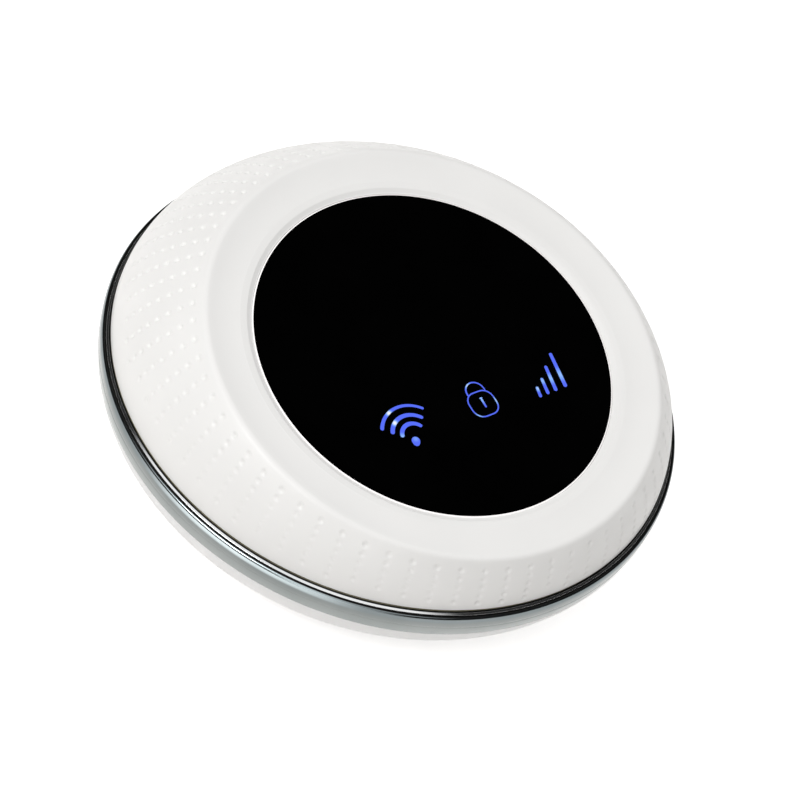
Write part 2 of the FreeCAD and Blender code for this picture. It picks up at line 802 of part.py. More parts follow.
def build():
    parts = {
        "top_shell": make_top_shell(),
        "display_lens": make_lens(),
        "lens_tape": make_tape(),
        "icon_mask": make_mask(),
        "light_guide": make_light_guide(),
        "status_leds": make_leds(),
        "chrome_band": make_band(),
        "bottom_shell": make_bottom_shell(),
        "battery_cover": make_cover(),
        "battery_pack": make_battery(),
        "battery_contacts": make_contacts(),
        "main_board": make_board(),
        "antenna_carrier": make_carrier(),
        "usb_port": make_usb_shell(),
        "usb_tongue": make_usb_tongue(),
        "reset_switch": make_reset_switch(),
        "sim_socket": make_sim_socket(),
        "sim_tray": make_tray(),
        "sim_card": make_card(),
        "housing_screws": make_screws(),
        "rubber_feet": make_feet(),
    }
    for name, place in cans.items():
        parts[name] = make_can(*place)
    for name, place in chips.items():
        parts[name] = make_chip(*place)
    for name, span in antenna_azimuths.items():
        parts[name] = make_antenna(span)
    for name, azimuth in button_azimuths.items():
        parts[name + "_button"] = make_button(azimuth)
        parts[name + "_switch"] = make_switch(azimuth)
        parts[name + "_plunger"] = make_plunger(azimuth)
    return parts


os.makedirs("parts", exist_ok=True)
for node, shape in build().items():
    shape.exportStep("parts/" + node + ".step")
    print(node, len(shape.Solids), round(shape.Volume, 1), shape.isValid())
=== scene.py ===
"""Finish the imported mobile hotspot: moulded shells, window, trim band, symbols and small parts.

Laid out as an add-on and run as a script: sizes and colours are properties, each piece has an
operator, and a panel lists them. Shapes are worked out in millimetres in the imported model's frame:
+Z up, the body's axis on Z, +Y the high side of the tilted window, where the ports are.
"""

from math import atan2, cos, pi, radians, sin, sqrt, tan

import bmesh
import bpy
import numpy as np
from bpy.props import FloatProperty, FloatVectorProperty, IntProperty, PointerProperty
from mathutils import Matrix, Vector


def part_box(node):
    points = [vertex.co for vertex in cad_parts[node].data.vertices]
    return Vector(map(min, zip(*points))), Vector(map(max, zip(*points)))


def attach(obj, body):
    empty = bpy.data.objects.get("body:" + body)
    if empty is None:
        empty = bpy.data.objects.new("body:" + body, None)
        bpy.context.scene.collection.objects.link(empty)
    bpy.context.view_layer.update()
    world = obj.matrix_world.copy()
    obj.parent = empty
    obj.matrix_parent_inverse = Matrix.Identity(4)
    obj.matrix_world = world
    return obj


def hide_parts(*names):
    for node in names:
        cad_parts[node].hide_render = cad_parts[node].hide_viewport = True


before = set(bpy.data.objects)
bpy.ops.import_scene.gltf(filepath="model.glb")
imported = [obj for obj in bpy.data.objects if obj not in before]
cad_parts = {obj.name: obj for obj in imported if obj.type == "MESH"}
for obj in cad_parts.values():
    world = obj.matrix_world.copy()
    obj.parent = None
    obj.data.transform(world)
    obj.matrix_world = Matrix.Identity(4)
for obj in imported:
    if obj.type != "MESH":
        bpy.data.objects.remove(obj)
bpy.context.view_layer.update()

bl_info = {
    "name": "Mobile Hotspot Finish",
    "version": (1, 0, 0),
    "blender": (4, 5, 0),
    "location": "3D View > Sidebar > Hotspot",
    "description": "Moulded shells, window, trim band and finishes for the packed mobile hotspot",
    "category": "Object",
}

MM = 0.001


def box_mm(node):
    """Lowest and highest corner of a node, in millimetres."""
    low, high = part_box(node)
    return np.array(low) / MM, np.array(high) / MM


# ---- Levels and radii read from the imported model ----
BAND_LOW, BAND_HIGH = box_mm("chrome_band")
BOWL_LOW, BOWL_HIGH = box_mm("bottom_shell")
LENS_LOW, LENS_HIGH = box_mm("display_lens")
COVER_LOW, COVER_HIGH = box_mm("battery_cover")
BATTERY_LOW, BATTERY_HIGH = box_mm("battery_pack")
BOARD_LOW, BOARD_HIGH = box_mm("main_board")
FEET_LOW, FEET_HIGH = box_mm("rubber_feet")
TRAY_LOW = box_mm("sim_tray")[0]
CARD_LOW, CARD_HIGH = box_mm("sim_card")
CONTACT_LOW, CONTACT_HIGH = box_mm("battery_contacts")
SCREW_LOW, SCREW_HIGH = box_mm("housing_screws")
SOCKET_LOW, SOCKET_HIGH = box_mm("usb_port")


def window_tilt():
    """Tilt of the window, from the normals of the triangles that look up."""
    normals = np.array([polygon.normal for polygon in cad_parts["display_lens"].data.polygons])
    up = normals[normals[:, 2] > 0.9].mean(axis=0)
    return atan2(-up[1], up[2])


TILT = window_tilt()
WINDOW_RADIUS = (LENS_HIGH[0] - LENS_LOW[0]) / 2
WINDOW_THICKNESS = (LENS_HIGH[2] - LENS_LOW[2] - 2 * WINDOW_RADIUS * sin(TILT)) / cos(TILT)
WINDOW_UP = np.array([0, -sin(TILT), cos(TILT)])
WINDOW_BACK = np.array([0, cos(TILT), sin(TILT)])
WINDOW_CENTRE = (LENS_LOW + LENS_HIGH) / 2 + WINDOW_UP * WINDOW_THICKNESS / 2
BODY_RADIUS = (BAND_HIGH[0] - BAND_LOW[0]) / 2
BAND_BOTTOM, BAND_TOP = BAND_LOW[2], BAND_HIGH[2]
BASE = BOWL_LOW[2]
LIP_TOP = BOWL_HIGH[2]
FLOOR_LEVEL = FEET_LOW[2]
BOARD_TOP = BOARD_HIGH[2]
COVER_TOP = BATTERY_LOW[2]

def cone(start, full):
    """Cosines of two angles from an axis, in degrees: where a spot starts and where it is full."""
    return cos(radians(start)), cos(radians(full))


# ---- Moulding sizes, as in the solids ----
SEAM_GAP = 0.2
SEAM = BAND_TOP + SEAM_GAP
SKIRT_RADIUS = BODY_RADIUS - 1.3
RIDGE_RADIUS = SKIRT_RADIUS - 8.1
RIDGE_RISE = 1.3
SKIRT_BULGE = 0.2
LEFT_BULGE, LEFT_AZIMUTH = 0.2, radians(150)
SKIRT_WALL = 2.0
FACE_RISE = WINDOW_CENTRE[2] - SEAM
REBATE_RADIUS = SKIRT_RADIUS - 1.0
LIP_OUTER = REBATE_RADIUS - 0.1
LIP_INNER = LIP_OUTER - 1.0
REBATE_TOP = LIP_TOP + 0.1
WINDOW_BEVEL = 0.2
LIP_EDGE_RADIUS = WINDOW_RADIUS + WINDOW_BEVEL + 0.04
LIP_WIDTH = 1.9
LIP_RISE = 0.55
INNER_SLOPE = radians(14)
TAPE_THICKNESS = 0.2
POCKET_DEPTH = WINDOW_THICKNESS + TAPE_THICKNESS
DECK_THICKNESS = 1.3
DECK_UNDERSIDE = POCKET_DEPTH + DECK_THICKNESS
CORNER_RADIUS = 12.3
CORNER_RING = BODY_RADIUS - CORNER_RADIUS
CORNER_LEVEL = BASE + CORNER_RADIUS
SHELL_WALL = 1.8
BELT_FOOT = BAND_BOTTOM + 1.2     # the bowl's rim laps the foot of the band up to here
RIM = BELT_FOOT - 0.005
BELT_TOP = BAND_TOP - 1.25
WIRE_RADIUS = SKIRT_RADIUS + 0.36
WIRE_WIDTH = 0.36
WIRE_SLOPE = radians(24)
INNER_GROOVE = 0.36               # depths of the grooves beside the wire, below the band's top
OUTER_GROOVE = 0.52
GROOVE_WIDTH = 0.35
SHOULDER_DROP = 0.28              # the shoulder starts this far below the band's top
SCORE_LEVEL = BELT_TOP - 1.0
PAINTED_HIGHLIGHT_AZIMUTH = radians(208)     # middle of the painted highlight on the belt's shoulder
PAINTED_HIGHLIGHT_CONE = cone(31, 14)
PAINTED_HIGHLIGHT_GAIN = 1.9
PAINTED_HIGHLIGHT_SHARE = (0.7, 0.8)         # shares of the belt's height where the painted highlight starts and is full
PORT_LEVEL = (BAND_BOTTOM + BELT_TOP) / 2
BOSS_PLACE = (13.0, 25.5)
FOOT_RADIUS = FEET_HIGH[0] - BOSS_PLACE[0]
BOSSES = [(sx * BOSS_PLACE[0], sy * BOSS_PLACE[1]) for sx in (-1, 1) for sy in (-1, 1)]
SYMBOL_WINDOWS = [(-11.0, -8.6), (3.0, -9.7), (14.8, -9.3)]
SYMBOL_WINDOW_SIZE = (8.4, 7.6)
BUTTONS = {"power_button": 66.0, "pairing_button": 114.0}
BUTTON_SIZE = (6.4, 2.4)
BUTTON_PROUD = 0.6
TRAY_FACE = (13.0, 2.4)
RESET_AZIMUTH = 40.0

# ---- Gaps and small sizes, as in the solids ----
SOCKET_GAP = 0.25
SOCKET_CORNER = 1.1
BUTTON_GAP = 0.15
BUTTON_WING = 1.4                 # the flange behind each button, past its ends
TRAY_GAP = 0.2
TRAY_PLATE = (10.6, 0.9)          # width and thickness
TRAY_PIN_BORE = 0.9
RESET_BORE = 1.2
PILOT_RADIUS = 1.03
PILOT_SPARE = 0.8                 # pilot hole past the screw's tip
UPPER_BOSS_RADIUS = 2.6
BOSS_ROOT = 0.6                   # the upper bosses run this far into the deck
CLAMP_GAP = 0.05                  # upper bosses to the board
STAKE_WIDTH = 1.6
STAKE_LENGTH = 1.0
LOWER_BOSS_RADIUS = 3.2
FOOT_SEAT = (3.2, 0.5)            # radius and depth
HEAD_BORE = 2.1                   # radius of the screw head's bore
HEAD_HEIGHT = 1.3
SHANK_BORE = 1.3
BAY_GAP = 0.4
BAY_WALL = 1.2
BAY_ROOF = 0.6
CONTACT_GAP = 0.2
COVER_ROUND = 6.0
COVER_GAP = 0.2
COVER_RIB = 0.9
RIB_GAP = 0.1
SCOOP_RADIUS = 6.0
SCOOP_DEPTH = 0.9
SCOOP_LENGTH = 13.0

# ---- Symbols, in the window's own frame ----
ARC_HEART = (-10.25, -12.2)
ARCS = ((5.1, 154, 47, (0.58, 0.48, 0.4)), (3.5, 160, 42, (0.66, 0.64, 0.54)),    # radius, from, to, widths
        (2.05, 172, 32, (0.64, 0.66, 0.56)))
PADLOCK_PLACE = (2.78, -10.28)
PADLOCK_TURN = radians(4)
BARS = (((12.4, -11.9), (12.66, -10.05), 0.52), ((13.86, -11.75), (14.2, -8.9), 0.56),    # foot, tip, width
        ((15.4, -11.6), (15.94, -7.15), 0.6), ((17.3, -11.4), (17.87, -5.35), 0.64))
SYMBOL_LIFT = 0.005
LIGHT_PIPES = (    # place, reach and strength of each spot of light
    (-12.4, -7.7, 0.85, 1.0), (-12.35, -9.4, 0.8, 1.0), (-12.3, -11.8, 0.9, 0.5), (-10.5, -12.7, 0.7, 0.3),
    (2.0, -7.0, 0.9, 0.8), (5.2, -10.4, 1.0, 0.6), (1.2, -11.9, 0.9, 0.5), (2.95, -9.5, 1.2, 0.5),
    (12.7, -10.4, 0.8, 0.6), (14.1, -9.4, 0.9, 0.5), (15.6, -9.4, 1.3, 0.5), (17.5, -9.2, 1.6, 0.5))

# ---- Studio ----
AIM_SHIFT = (0.66, -4.14)             # mm right of and above the middle of the seam, in the view
KEY_SIDE = (-0.64, -0.04, 0.77)       # where the key light comes from
KEY_DISTANCE = 0.6
KEY_SIZE = (0.25, 0.25)
SOFTBOX_SIDE = (-0.38, -0.14, 0.9)    # where polished surfaces see the softbox
SOFTBOX_CONE = cone(41, 32)
LOW_BOX_SIDE = (-0.58, -0.76, 0.29)   # and a second one, low on the near left
LOW_BOX_CONE = cone(24, 12)
LOW_BOX_SHARE = 1.4
CARDS = (((-0.45, -0.85, 0.3), 0.4), ((0.75, -0.6, 0.25), 0.75))    # black cards: side, share let by
CARD_CONE = cone(48, 20)
SKY_CONE = (0.3, 1.0)
FLOOR_FILL = 0.6

# ---- Dimples: strength by azimuth in degrees, and rows across one dimple in its radii ----
DIMPLE_STRENGTH = ((0, 160, 190, 248, 262, 360), (1.0, 1.0, 0.4, 0.35, 0.9, 1.0))
DIMPLE_STEPS = np.array([-1.35, -1.0, -0.66, -0.33, 0.0, 0.33, 0.66, 1.0, 1.35])
DIMPLE_RING = 40.0                # radius at which the columns across a dimple are spaced


# ---- Curves and surfaces ----
def rounded(corners, steps=6):
    """Outline through corners (r, z, radius), each corner turned into an arc tangent to both runs.

    The arc's points lie at a distance of the radius from a centre on the corner's bisector, at
    even steps of angle between the two tangent points. A radius of zero keeps the corner.
    """
    points = []
    for index, (r, z, radius) in enumerate(corners):
        here = np.array([r, z])
        if radius == 0 or index in (0, len(corners) - 1):
            points.append(here)
            continue
        before = np.array(corners[index - 1][:2]) - here
        after = np.array(corners[index + 1][:2]) - here
        before, after = before / np.linalg.norm(before), after / np.linalg.norm(after)
        half = np.arccos(np.clip(before @ after, -1, 1)) / 2
        centre = here + (before + after) / np.linalg.norm(before + after) * radius / sin(half)
        first = here + before * radius / tan(half) - centre
        last = here + after * radius / tan(half) - centre
        start, end = atan2(first[1], first[0]), atan2(last[1], last[0])
        turn = (end - start + pi) % (2 * pi) - pi
        angles = start + turn * np.linspace(0, 1, steps)
        points.extend(arc(centre, radius, angles))
    return np.array(points)


def arc(centre, radius, angles):
    """Points round a centre, at a radius and at each of the angles."""
    return np.asarray(centre) + radius * np.stack([np.cos(angles), np.sin(angles)], axis=-1)


def square_curve(start, middle, end, t):
    """Curve from start to end, drawn towards the middle point, for shares t of the way.

    The three points are weighted by the square of 1 - t, twice the product of t and 1 - t, and the
    square of t, so the curve leaves the start towards the middle and reaches the end from it.
    """
    return (1 - t) ** 2 * np.asarray(start) + 2 * t * (1 - t) * np.asarray(middle) + t * t * np.asarray(end)


def ring_of(azimuth, half_x, half_y, centre_y, level, lean):
    """Points where upright half planes through the body's axis meet a leaning ellipse.

    The ellipse's centre is on the Y axis. Along a half plane, the distance from the axis is the
    positive root of the quadratic that says: the offsets from the centre, each over its half axis,
    have squares that add up to one. The height is the level plus the lean times the ellipse's sine.
    """
    c, s = np.cos(azimuth), np.sin(azimuth)
    a = (c / half_x) ** 2 + (s / half_y) ** 2
    b = -s * centre_y / half_y ** 2
    k = (centre_y / half_y) ** 2 - 1
    reach = (-b + np.sqrt(b * b - a * k)) / a
    sine = (reach * s - centre_y) / half_y
    return np.stack([reach * c, reach * s, level + lean * sine], axis=-1)


def skirt(azimuth, share, foot, crest):
    """Point of the domed skirt at a share of the way from the seam circle to the tilted crest.

    The share's run inwards is part straight and part square, so that the skirt bows outwards. The
    straight part shrinks with the square of the cosine of the angle from one azimuth, where that is
    above zero, so the skirt bows the most there. The half axes and the centre go from the foot
    circle to the crest circle with that run, and the height and the lean go with the share itself.
    """
    straight_part = SKIRT_BULGE - LEFT_BULGE * np.clip(np.cos(azimuth - LEFT_AZIMUTH), 0, 1) ** 2
    inwards = straight_part * share + (1 - straight_part) * share * share
    crest_y = WINDOW_CENTRE[1] - RIDGE_RISE * sin(TILT)
    crest_rise = FACE_RISE + RIDGE_RISE * cos(TILT)
    half_x = foot + (crest - foot) * inwards
    half_y = foot * (1 - inwards) + crest * cos(TILT) * inwards
    return ring_of(azimuth, half_x, half_y, crest_y * inwards, SEAM + crest_rise * share,
                   crest * sin(TILT) * share)


def face_ring(azimuth, radius, height):
    """Point on a circle of the window's own frame, at an azimuth about the body's axis."""
    return ring_of(azimuth, radius, radius * cos(TILT), WINDOW_CENTRE[1] - height * sin(TILT),
                   WINDOW_CENTRE[2] + height * cos(TILT), radius * sin(TILT))


def on_face(points):
    """Carry points from the window's own frame (x, y, height above it) to the body."""
    points = np.asarray(points, float)
    return (WINDOW_CENTRE + points[..., :1] * np.array([1.0, 0, 0]) + points[..., 1:2] * WINDOW_BACK
            + points[..., 2:3] * WINDOW_UP)


def face_height(points):
    """Height of points above the window's top face."""
    return (points - WINDOW_CENTRE) @ WINDOW_UP


def bowl_radius(level, grow=0.0):
    """Radius of the bowl's round corner at a level, grown outwards by a margin."""
    reach = CORNER_RADIUS + grow
    return CORNER_RING + np.sqrt(reach ** 2 - (CORNER_LEVEL - level) ** 2)


def bowl_arc(start_level, grow, steps):
    """Points (r, z) down the bowl's round corner, from a level to its flat base.

    They lie on a circle about the corner's centre, at even steps of angle.
    """
    reach = CORNER_RADIUS + grow
    angles = np.linspace(np.arcsin((CORNER_LEVEL - start_level) / reach), pi / 2, steps)
    return arc((CORNER_RING, CORNER_LEVEL), reach, -angles)


def look_up(table, values, targets):
    """Read a table down its columns: the value at which each column's table reaches each target.

    The table rises down its rows. Each target is found between two rows, and the value between
    them is in proportion.
    """
    index = np.clip((table[None] < targets[:, None]).sum(axis=1), 1, len(table) - 1)
    below, above = (np.take_along_axis(table, index - 1, axis=0), np.take_along_axis(table, index, axis=0))
    part = np.clip((targets - below) / np.maximum(above - below, 1e-9), 0, 1)
    return values[index - 1] + (values[index] - values[index - 1]) * part


# ---- Meshes ----
def grid_faces(rows, columns, close_rows=False):
    """Quads between neighbouring rows and columns of a grid of points, whose rows are rings."""
    row = np.arange(rows if close_rows else rows - 1)[:, None]
    column = np.arange(columns)[None]
    next_row, next_column = (row + 1) % rows, (column + 1) % columns
    corners = [row * columns + column, row * columns + next_column, next_row * columns + next_column,
               next_row * columns + column]
    return np.stack([c + 0 * column + 0 * row for c in corners], axis=-1).reshape(-1, 4)


def sheet(points, close_rows=False):
    """A grid of points as a surface: its points in a list, and the quads between them."""
    rows, columns = points.shape[:2]
    return points.reshape(-1, 3), grid_faces(rows, columns, close_rows)


def capped(sections):
    """Closed skin over sections (section, point, xyz), each end drawn to its middle."""
    first = np.repeat(sections[:1].mean(axis=1, keepdims=True), sections.shape[1], axis=1)
    last = np.repeat(sections[-1:].mean(axis=1, keepdims=True), sections.shape[1], axis=1)
    return sheet(np.concatenate([first, sections, last]))


def lathe(profile, segments, x=0.0, y=0.0, closed=False):
    """Turn a profile (r, z) about an upright axis: each point goes round a circle at its level."""
    angles = np.arange(segments) * 2 * pi / segments
    r, z = profile[:, :1], profile[:, 1:]
    points = np.stack([x + r * np.cos(angles), y + r * np.sin(angles), z + 0 * angles], axis=-1)
    return sheet(points, close_rows=closed)


def pill_outline(length, width, radius, steps=10):
    """Rectangle with round corners, anticlockwise: arcs of even angle about four corner centres."""
    radius = min(radius, length / 2, width / 2)
    turns = np.linspace(0, pi / 2, steps)
    arcs = []
    for quarter, (sx, sy) in enumerate(((1, 1), (-1, 1), (-1, -1), (1, -1))):
        angles = turns + quarter * pi / 2
        centre = np.array([sx * (length / 2 - radius), sy * (width / 2 - radius)])
        arcs.append(arc(centre, radius, angles))
    return np.concatenate(arcs)


def at_level(outline, level):
    """A flat outline (x, y) at one level, or with a level for each of its points."""
    return np.column_stack([outline, np.broadcast_to(level, len(outline))])


def pad_sections(length, width, radius, rows, steps=10):
    """Sections of a pad: its outline drawn in by an inset at each level, for rows (inset, level)."""
    sections = []
    for inset, level in rows:
        outline = pill_outline(length - 2 * inset, width - 2 * inset, max(radius - inset, 0.02), steps)
        sections.append(at_level(outline, level))
    return np.array(sections)


def upright(points, x=0.0, y=0.0):
    """Move a pad's points to a place on the body, levels unchanged."""
    return points + np.array([x, y, 0.0])


def prism(length, width, radius, low, high, steps=10, x=0.0, y=0.0):
    """Upright prism with round corners, between two levels, at a place on the body."""
    return capped(upright(pad_sections(length, width, radius, [(0, low), (0, high)], steps), x, y))


def outwards(points, azimuth, level=None):
    """Turn a pad to face outwards: its length runs round the body, its width up, its level out."""
    level = PORT_LEVEL if level is None else level
    angle = radians(azimuth)
    u, v, w = points[..., 0], points[..., 1], points[..., 2]
    return np.stack([w * cos(angle) - u * sin(angle), w * sin(angle) + u * cos(angle), level + v], axis=-1)


def make_mesh(name, parts):
    """One mesh from parts (points, faces) in millimetres: doubles merged, slivers dissolved, and
    normals recalculated so that faces point outwards."""
    offset, all_points, all_faces = 0, [], []
    for points, faces in parts:
        all_points.append(np.asarray(points) * MM)
        all_faces.append(np.asarray(faces) + offset)
        offset += len(points)
    mesh = bpy.data.meshes.new(name)
    mesh.from_pydata(np.concatenate(all_points).tolist(), [], np.concatenate(all_faces).tolist())
    work = bmesh.new()
    work.from_mesh(mesh)
    bmesh.ops.remove_doubles(work, verts=work.verts, dist=2e-7)
    bmesh.ops.dissolve_degenerate(work, edges=work.edges, dist=2e-7)
    bmesh.ops.recalc_face_normals(work, faces=work.faces)
    work.to_mesh(mesh)
    work.free()
    return mesh


def add_object(name, parts):
    """An object at the origin with one mesh made from parts."""
    piece = bpy.data.objects.new(name, make_mesh(name, parts))
    bpy.context.scene.collection.objects.link(piece)
    return piece


def discard(piece):
    """Remove an object and its mesh."""
    mesh = piece.data
    bpy.data.objects.remove(piece)
    bpy.data.meshes.remove(mesh)


def carve(piece, taken=(), added=()):
    """Add and take away solids given as parts, with exact booleans applied in order."""
    tools = [("UNION", part) for part in added] + [("DIFFERENCE", part) for part in taken]
    cutters = []
    for index, (operation, part) in enumerate(tools):
        cutter = add_object(f"{piece.name}_tool_{index}", [part])
        modifier = piece.modifiers.new("carve", "BOOLEAN")
        modifier.operation, modifier.solver, modifier.object = operation, "EXACT", cutter
        cutters.append(cutter)
    bpy.context.view_layer.update()
    mesh = bpy.data.meshes.new_from_object(piece.evaluated_get(bpy.context.evaluated_depsgraph_get()))
    piece.modifiers.clear()
    old, piece.data = piece.data, mesh
    mesh.name = piece.name
    bpy.data.meshes.remove(old)
    for cutter in cutters:
        discard(cutter)
    return piece


def finish_piece(piece, body, nodes, materials, crease=32.0):
    """Smooth it, sharp along edges over the crease angle, and give it its body and finish."""
    if not len(piece.data.polygons):
        raise RuntimeError(f"{piece.name} has no faces")
    piece.data.polygons.foreach_set("use_smooth", np.ones(len(piece.data.polygons), bool))
    piece.data.set_sharp_from_angle(angle=radians(crease))
    for material in materials:
        piece.data.materials.append(material)
    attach(piece, body)
    if nodes:
        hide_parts(*nodes)
    return piece


def paint_by(piece, chooser):
    """Give each face the material whose index the chooser returns for the faces' middles, in mm."""
    count = len(piece.data.polygons)
    middles = np.empty(count * 3)
    piece.data.polygons.foreach_get("center", middles)
    index = chooser(middles.reshape(-1, 3) / MM)
    piece.data.polygons.foreach_set("material_index", index.astype(np.int32))
    piece.data.update()


# ---- Materials ----
def linear(code):
    """Linear RGBA of an sRGB hex colour."""
    channels = [int(code[i:i + 2], 16) / 255 for i in (0, 2, 4)]
    return tuple(c / 12.92 if c <= 0.04045 else ((c + 0.055) / 1.055) ** 2.4 for c in channels) + (1.0,)


def add_node(tree, kind, settings=None, inputs=None):
    """Add a shader node with its settings and its inputs, each a value or another node's socket."""
    node = tree.nodes.new("ShaderNode" + kind)
    for key, value in (settings or {}).items():
        setattr(node, key, value)
    for key, value in (inputs or {}).items():
        if isinstance(value, bpy.types.NodeSocket):
            tree.links.new(value, node.inputs[key])
        else:
            node.inputs[key].default_value = value
    return node


def calculate(tree, operation, *values):
    """One step of arithmetic on values that are numbers or sockets."""
    return add_node(tree, "Math", {"operation": operation}, dict(enumerate(values))).outputs[0]


def map_range(tree, value, start, end, low=0.0, high=1.0, kind="LINEAR"):
    """A level that goes from low to high as the value goes from start to end, held past either."""
    return add_node(tree, "MapRange", {"interpolation_type": kind},
                    {"Value": value, "From Min": start, "From Max": end, "To Min": low, "To Max": high}
                    ).outputs["Result"]


def toward(tree, direction, axis, reach, low=0.0, high=1.0, kind="SMOOTHSTEP"):
    """A level that goes from low to high as the cosine of the angle to an axis goes over a reach."""
    unit = add_node(tree, "VectorMath", {"operation": "NORMALIZE"}, {0: direction}).outputs[0]
    cosine = add_node(tree, "VectorMath", {"operation": "DOT_PRODUCT"},
                      {0: unit, 1: tuple(Vector(axis).normalized())}).outputs["Value"]
    return map_range(tree, cosine, *reach, low, high, kind)


def colour_ramp(tree, share, stops):
    """Colours by share, for stops (position, colour) in order."""
    ramp = add_node(tree, "ValToRGB", inputs={"Fac": share})
    elements = ramp.color_ramp.elements
    for element, (position, colour) in zip(elements, (stops[0], stops[-1])):
        element.position, element.color = position, colour
    for position, colour in stops[1:-1]:
        elements.new(position).color = colour
    return ramp.outputs["Color"]


def new_material(name, shader_inputs):
    """A material with one Principled shader: returns it, its tree, its shader and Object coordinates."""
    material = bpy.data.materials.new(name)
    material.use_nodes = True
    tree = material.node_tree
    tree.nodes.clear()
    shader = add_node(tree, "BsdfPrincipled", inputs=shader_inputs)
    add_node(tree, "OutputMaterial", inputs={"Surface": shader.outputs["BSDF"]})
    place = add_node(tree, "TexCoord").outputs["Object"]
    return material, tree, shader, place


def noise(tree, place, size_mm, detail=2.0):
    """Noise whose blotches are about the given size."""
    return add_node(tree, "TexNoise", inputs={"Vector": place, "Scale": 1 / (size_mm * MM), "Detail": detail}
                    ).outputs["Fac"]


def spread(tree, value, low, high):
    """Map noise, which keeps near its middle, onto a range."""
    return map_range(tree, value, 0.3, 0.7, low, high)


def surface(name, colour, shade, roughness, metallic=0.0, grain_mm=0.3, depth_mm=0.004, tone_mm=12.0,
            polish=0.06, extra=None):
    """A moulded, cast or coated surface: two close tones in soft blotches, a roughness that wanders,
    and a fine bump of the given grain."""
    inputs = {"Metallic": metallic}
    inputs.update(extra or {})
    material, tree, shader, place = new_material(name, inputs)
    tone = spread(tree, noise(tree, place, tone_mm, 3.0), 0.0, 1.0)
    tree.links.new(colour_ramp(tree, tone, ((0, colour), (1, shade))), shader.inputs["Base Color"])
    wander = spread(tree, noise(tree, place, tone_mm / 4, 2.0), roughness - polish, roughness + polish)
    tree.links.new(wander, shader.inputs["Roughness"])
    bump = add_node(tree, "Bump", inputs={
        "Height": noise(tree, place, grain_mm, 2.0), "Distance": depth_mm * MM, "Strength": 1.0})
    tree.links.new(bump.outputs["Normal"], shader.inputs["Normal"])
    return material


def chosen(setting):
    """A colour from the settings, with no transparency."""
    return tuple(getattr(bpy.context.scene.hotspot_finish, setting)) + (1.0,)


def finish_of(name, *recipe, **more):
    """A material made once and used again by name."""
    return bpy.data.materials.get(name) or surface(name, *recipe, **more)


def white_abs():
    """White ABS, the plastic of most housings, injection moulded. The mould is finely spark-eroded,
    so the skin is satin: light scatters softly from it and no edge is mirrored."""
    return finish_of("moulded_white_abs", chosen("shell_colour"), linear("F2F1EF"), 0.42,
                     grain_mm=0.18, depth_mm=0.0015)


def painted_light_base_abs():
    """White ABS again, injection moulded in a plainer mould: a little duller than the top. Its colour is a
    little whiter than the top's, painted light that makes up for the shade that the bowl and the cover lie
    in.
    """
    return finish_of("moulded_white_abs_base", linear("F8F8F8"), linear("F5F5F5"), 0.45,
                     grain_mm=0.2, depth_mm=0.002)


# ---- Settings ----
class HotspotShape(bpy.types.PropertyGroup):
    """Sizes that a maker would change."""
    crest_round: FloatProperty(name="Crest rounding", default=0.75 * MM, unit="LENGTH",
                               description="How far the rounding of the crest reaches on either side")
    dimple_radius: FloatProperty(name="Dimple radius", default=0.54 * MM, unit="LENGTH",
                                 description="Radius of one dimple of the skirt")
    dimple_depth: FloatProperty(name="Dimple depth", default=0.34 * MM, unit="LENGTH",
                                description="Depth of one dimple of the skirt")
    dimple_columns: IntProperty(name="Dimple columns", default=72, min=12,
                                description="Columns of dimples round the body")
    dimple_rows: IntProperty(name="Dimple rows", default=9, min=1,
                             description="Most rows of dimples below the crest")
    window_edge: FloatProperty(name="Window edge", default=0.1 * MM, unit="LENGTH",
                               description="Drop of the clear bevelled edge round the black window")
    symbol_height: FloatProperty(name="Symbol height", default=0.03 * MM, unit="LENGTH",
                                 description="Thickness of the lit symbols on the window")
    score_depth: FloatProperty(name="Scored line depth", default=0.06 * MM, unit="LENGTH",
                               description="Depth of the fine line scored round the belt")


class HotspotFinish(bpy.types.PropertyGroup):
    """Colours that a maker would change."""
    shell_colour: FloatVectorProperty(name="Shell", subtype="COLOR", default=linear("F5F4F2")[:3],
                                      description="Colour of the moulded shells", min=0, max=1)
    window_colour: FloatVectorProperty(name="Window", subtype="COLOR", default=linear("000000")[:3],
                                       description="Colour printed behind the window", min=0, max=1)
    symbol_colour: FloatVectorProperty(name="Symbols", subtype="COLOR", default=linear("566EFA")[:3],
                                       description="Colour of the lit symbols", min=0, max=1)
    wire_colour: FloatVectorProperty(name="Wire", subtype="COLOR", default=linear("DFE0E1")[:3],
                                     description="Colour of the polished wire in the seam", min=0, max=1)
    belt_colour: FloatVectorProperty(name="Belt", subtype="COLOR", default=linear("CACCCC")[:3],
                                     description="Colour of the satin belt", min=0, max=1)


class HotspotStudio(bpy.types.PropertyGroup):
    """Camera and light."""
    azimuth: FloatProperty(name="Azimuth", default=radians(-48.5), subtype="ANGLE",
                           description="Side from which the camera looks")
    elevation: FloatProperty(name="Elevation", default=radians(46.9), subtype="ANGLE",
                             description="Height of the camera above the horizon")
    roll: FloatProperty(name="Roll", default=radians(23.8), subtype="ANGLE",
                        description="Turn of the camera about its own line of sight")
    distance: FloatProperty(name="Distance", default=0.452, unit="LENGTH",
                            description="Camera to the middle of the seam")
    lens: FloatProperty(name="Lens", default=135.0, unit="CAMERA", description="Focal length")
    side_level: FloatProperty(name="Round the sides", default=0.32, min=0,
                              description="Level of the surroundings near the horizon")
    top_level: FloatProperty(name="Overhead", default=1.14, min=0,
                             description="Level of the surroundings overhead")
    box_level: FloatProperty(name="Softbox", default=1.15, min=0,
                             description="Level of the softbox that polished surfaces see")
    dark_level: FloatProperty(name="Round the softbox", default=0.03, min=0,
                              description="Level of what polished surfaces see round the softbox")
    key_power: FloatProperty(name="Key lamp", default=1.25, min=0, unit="POWER",
                             description="Power of the key lamp")


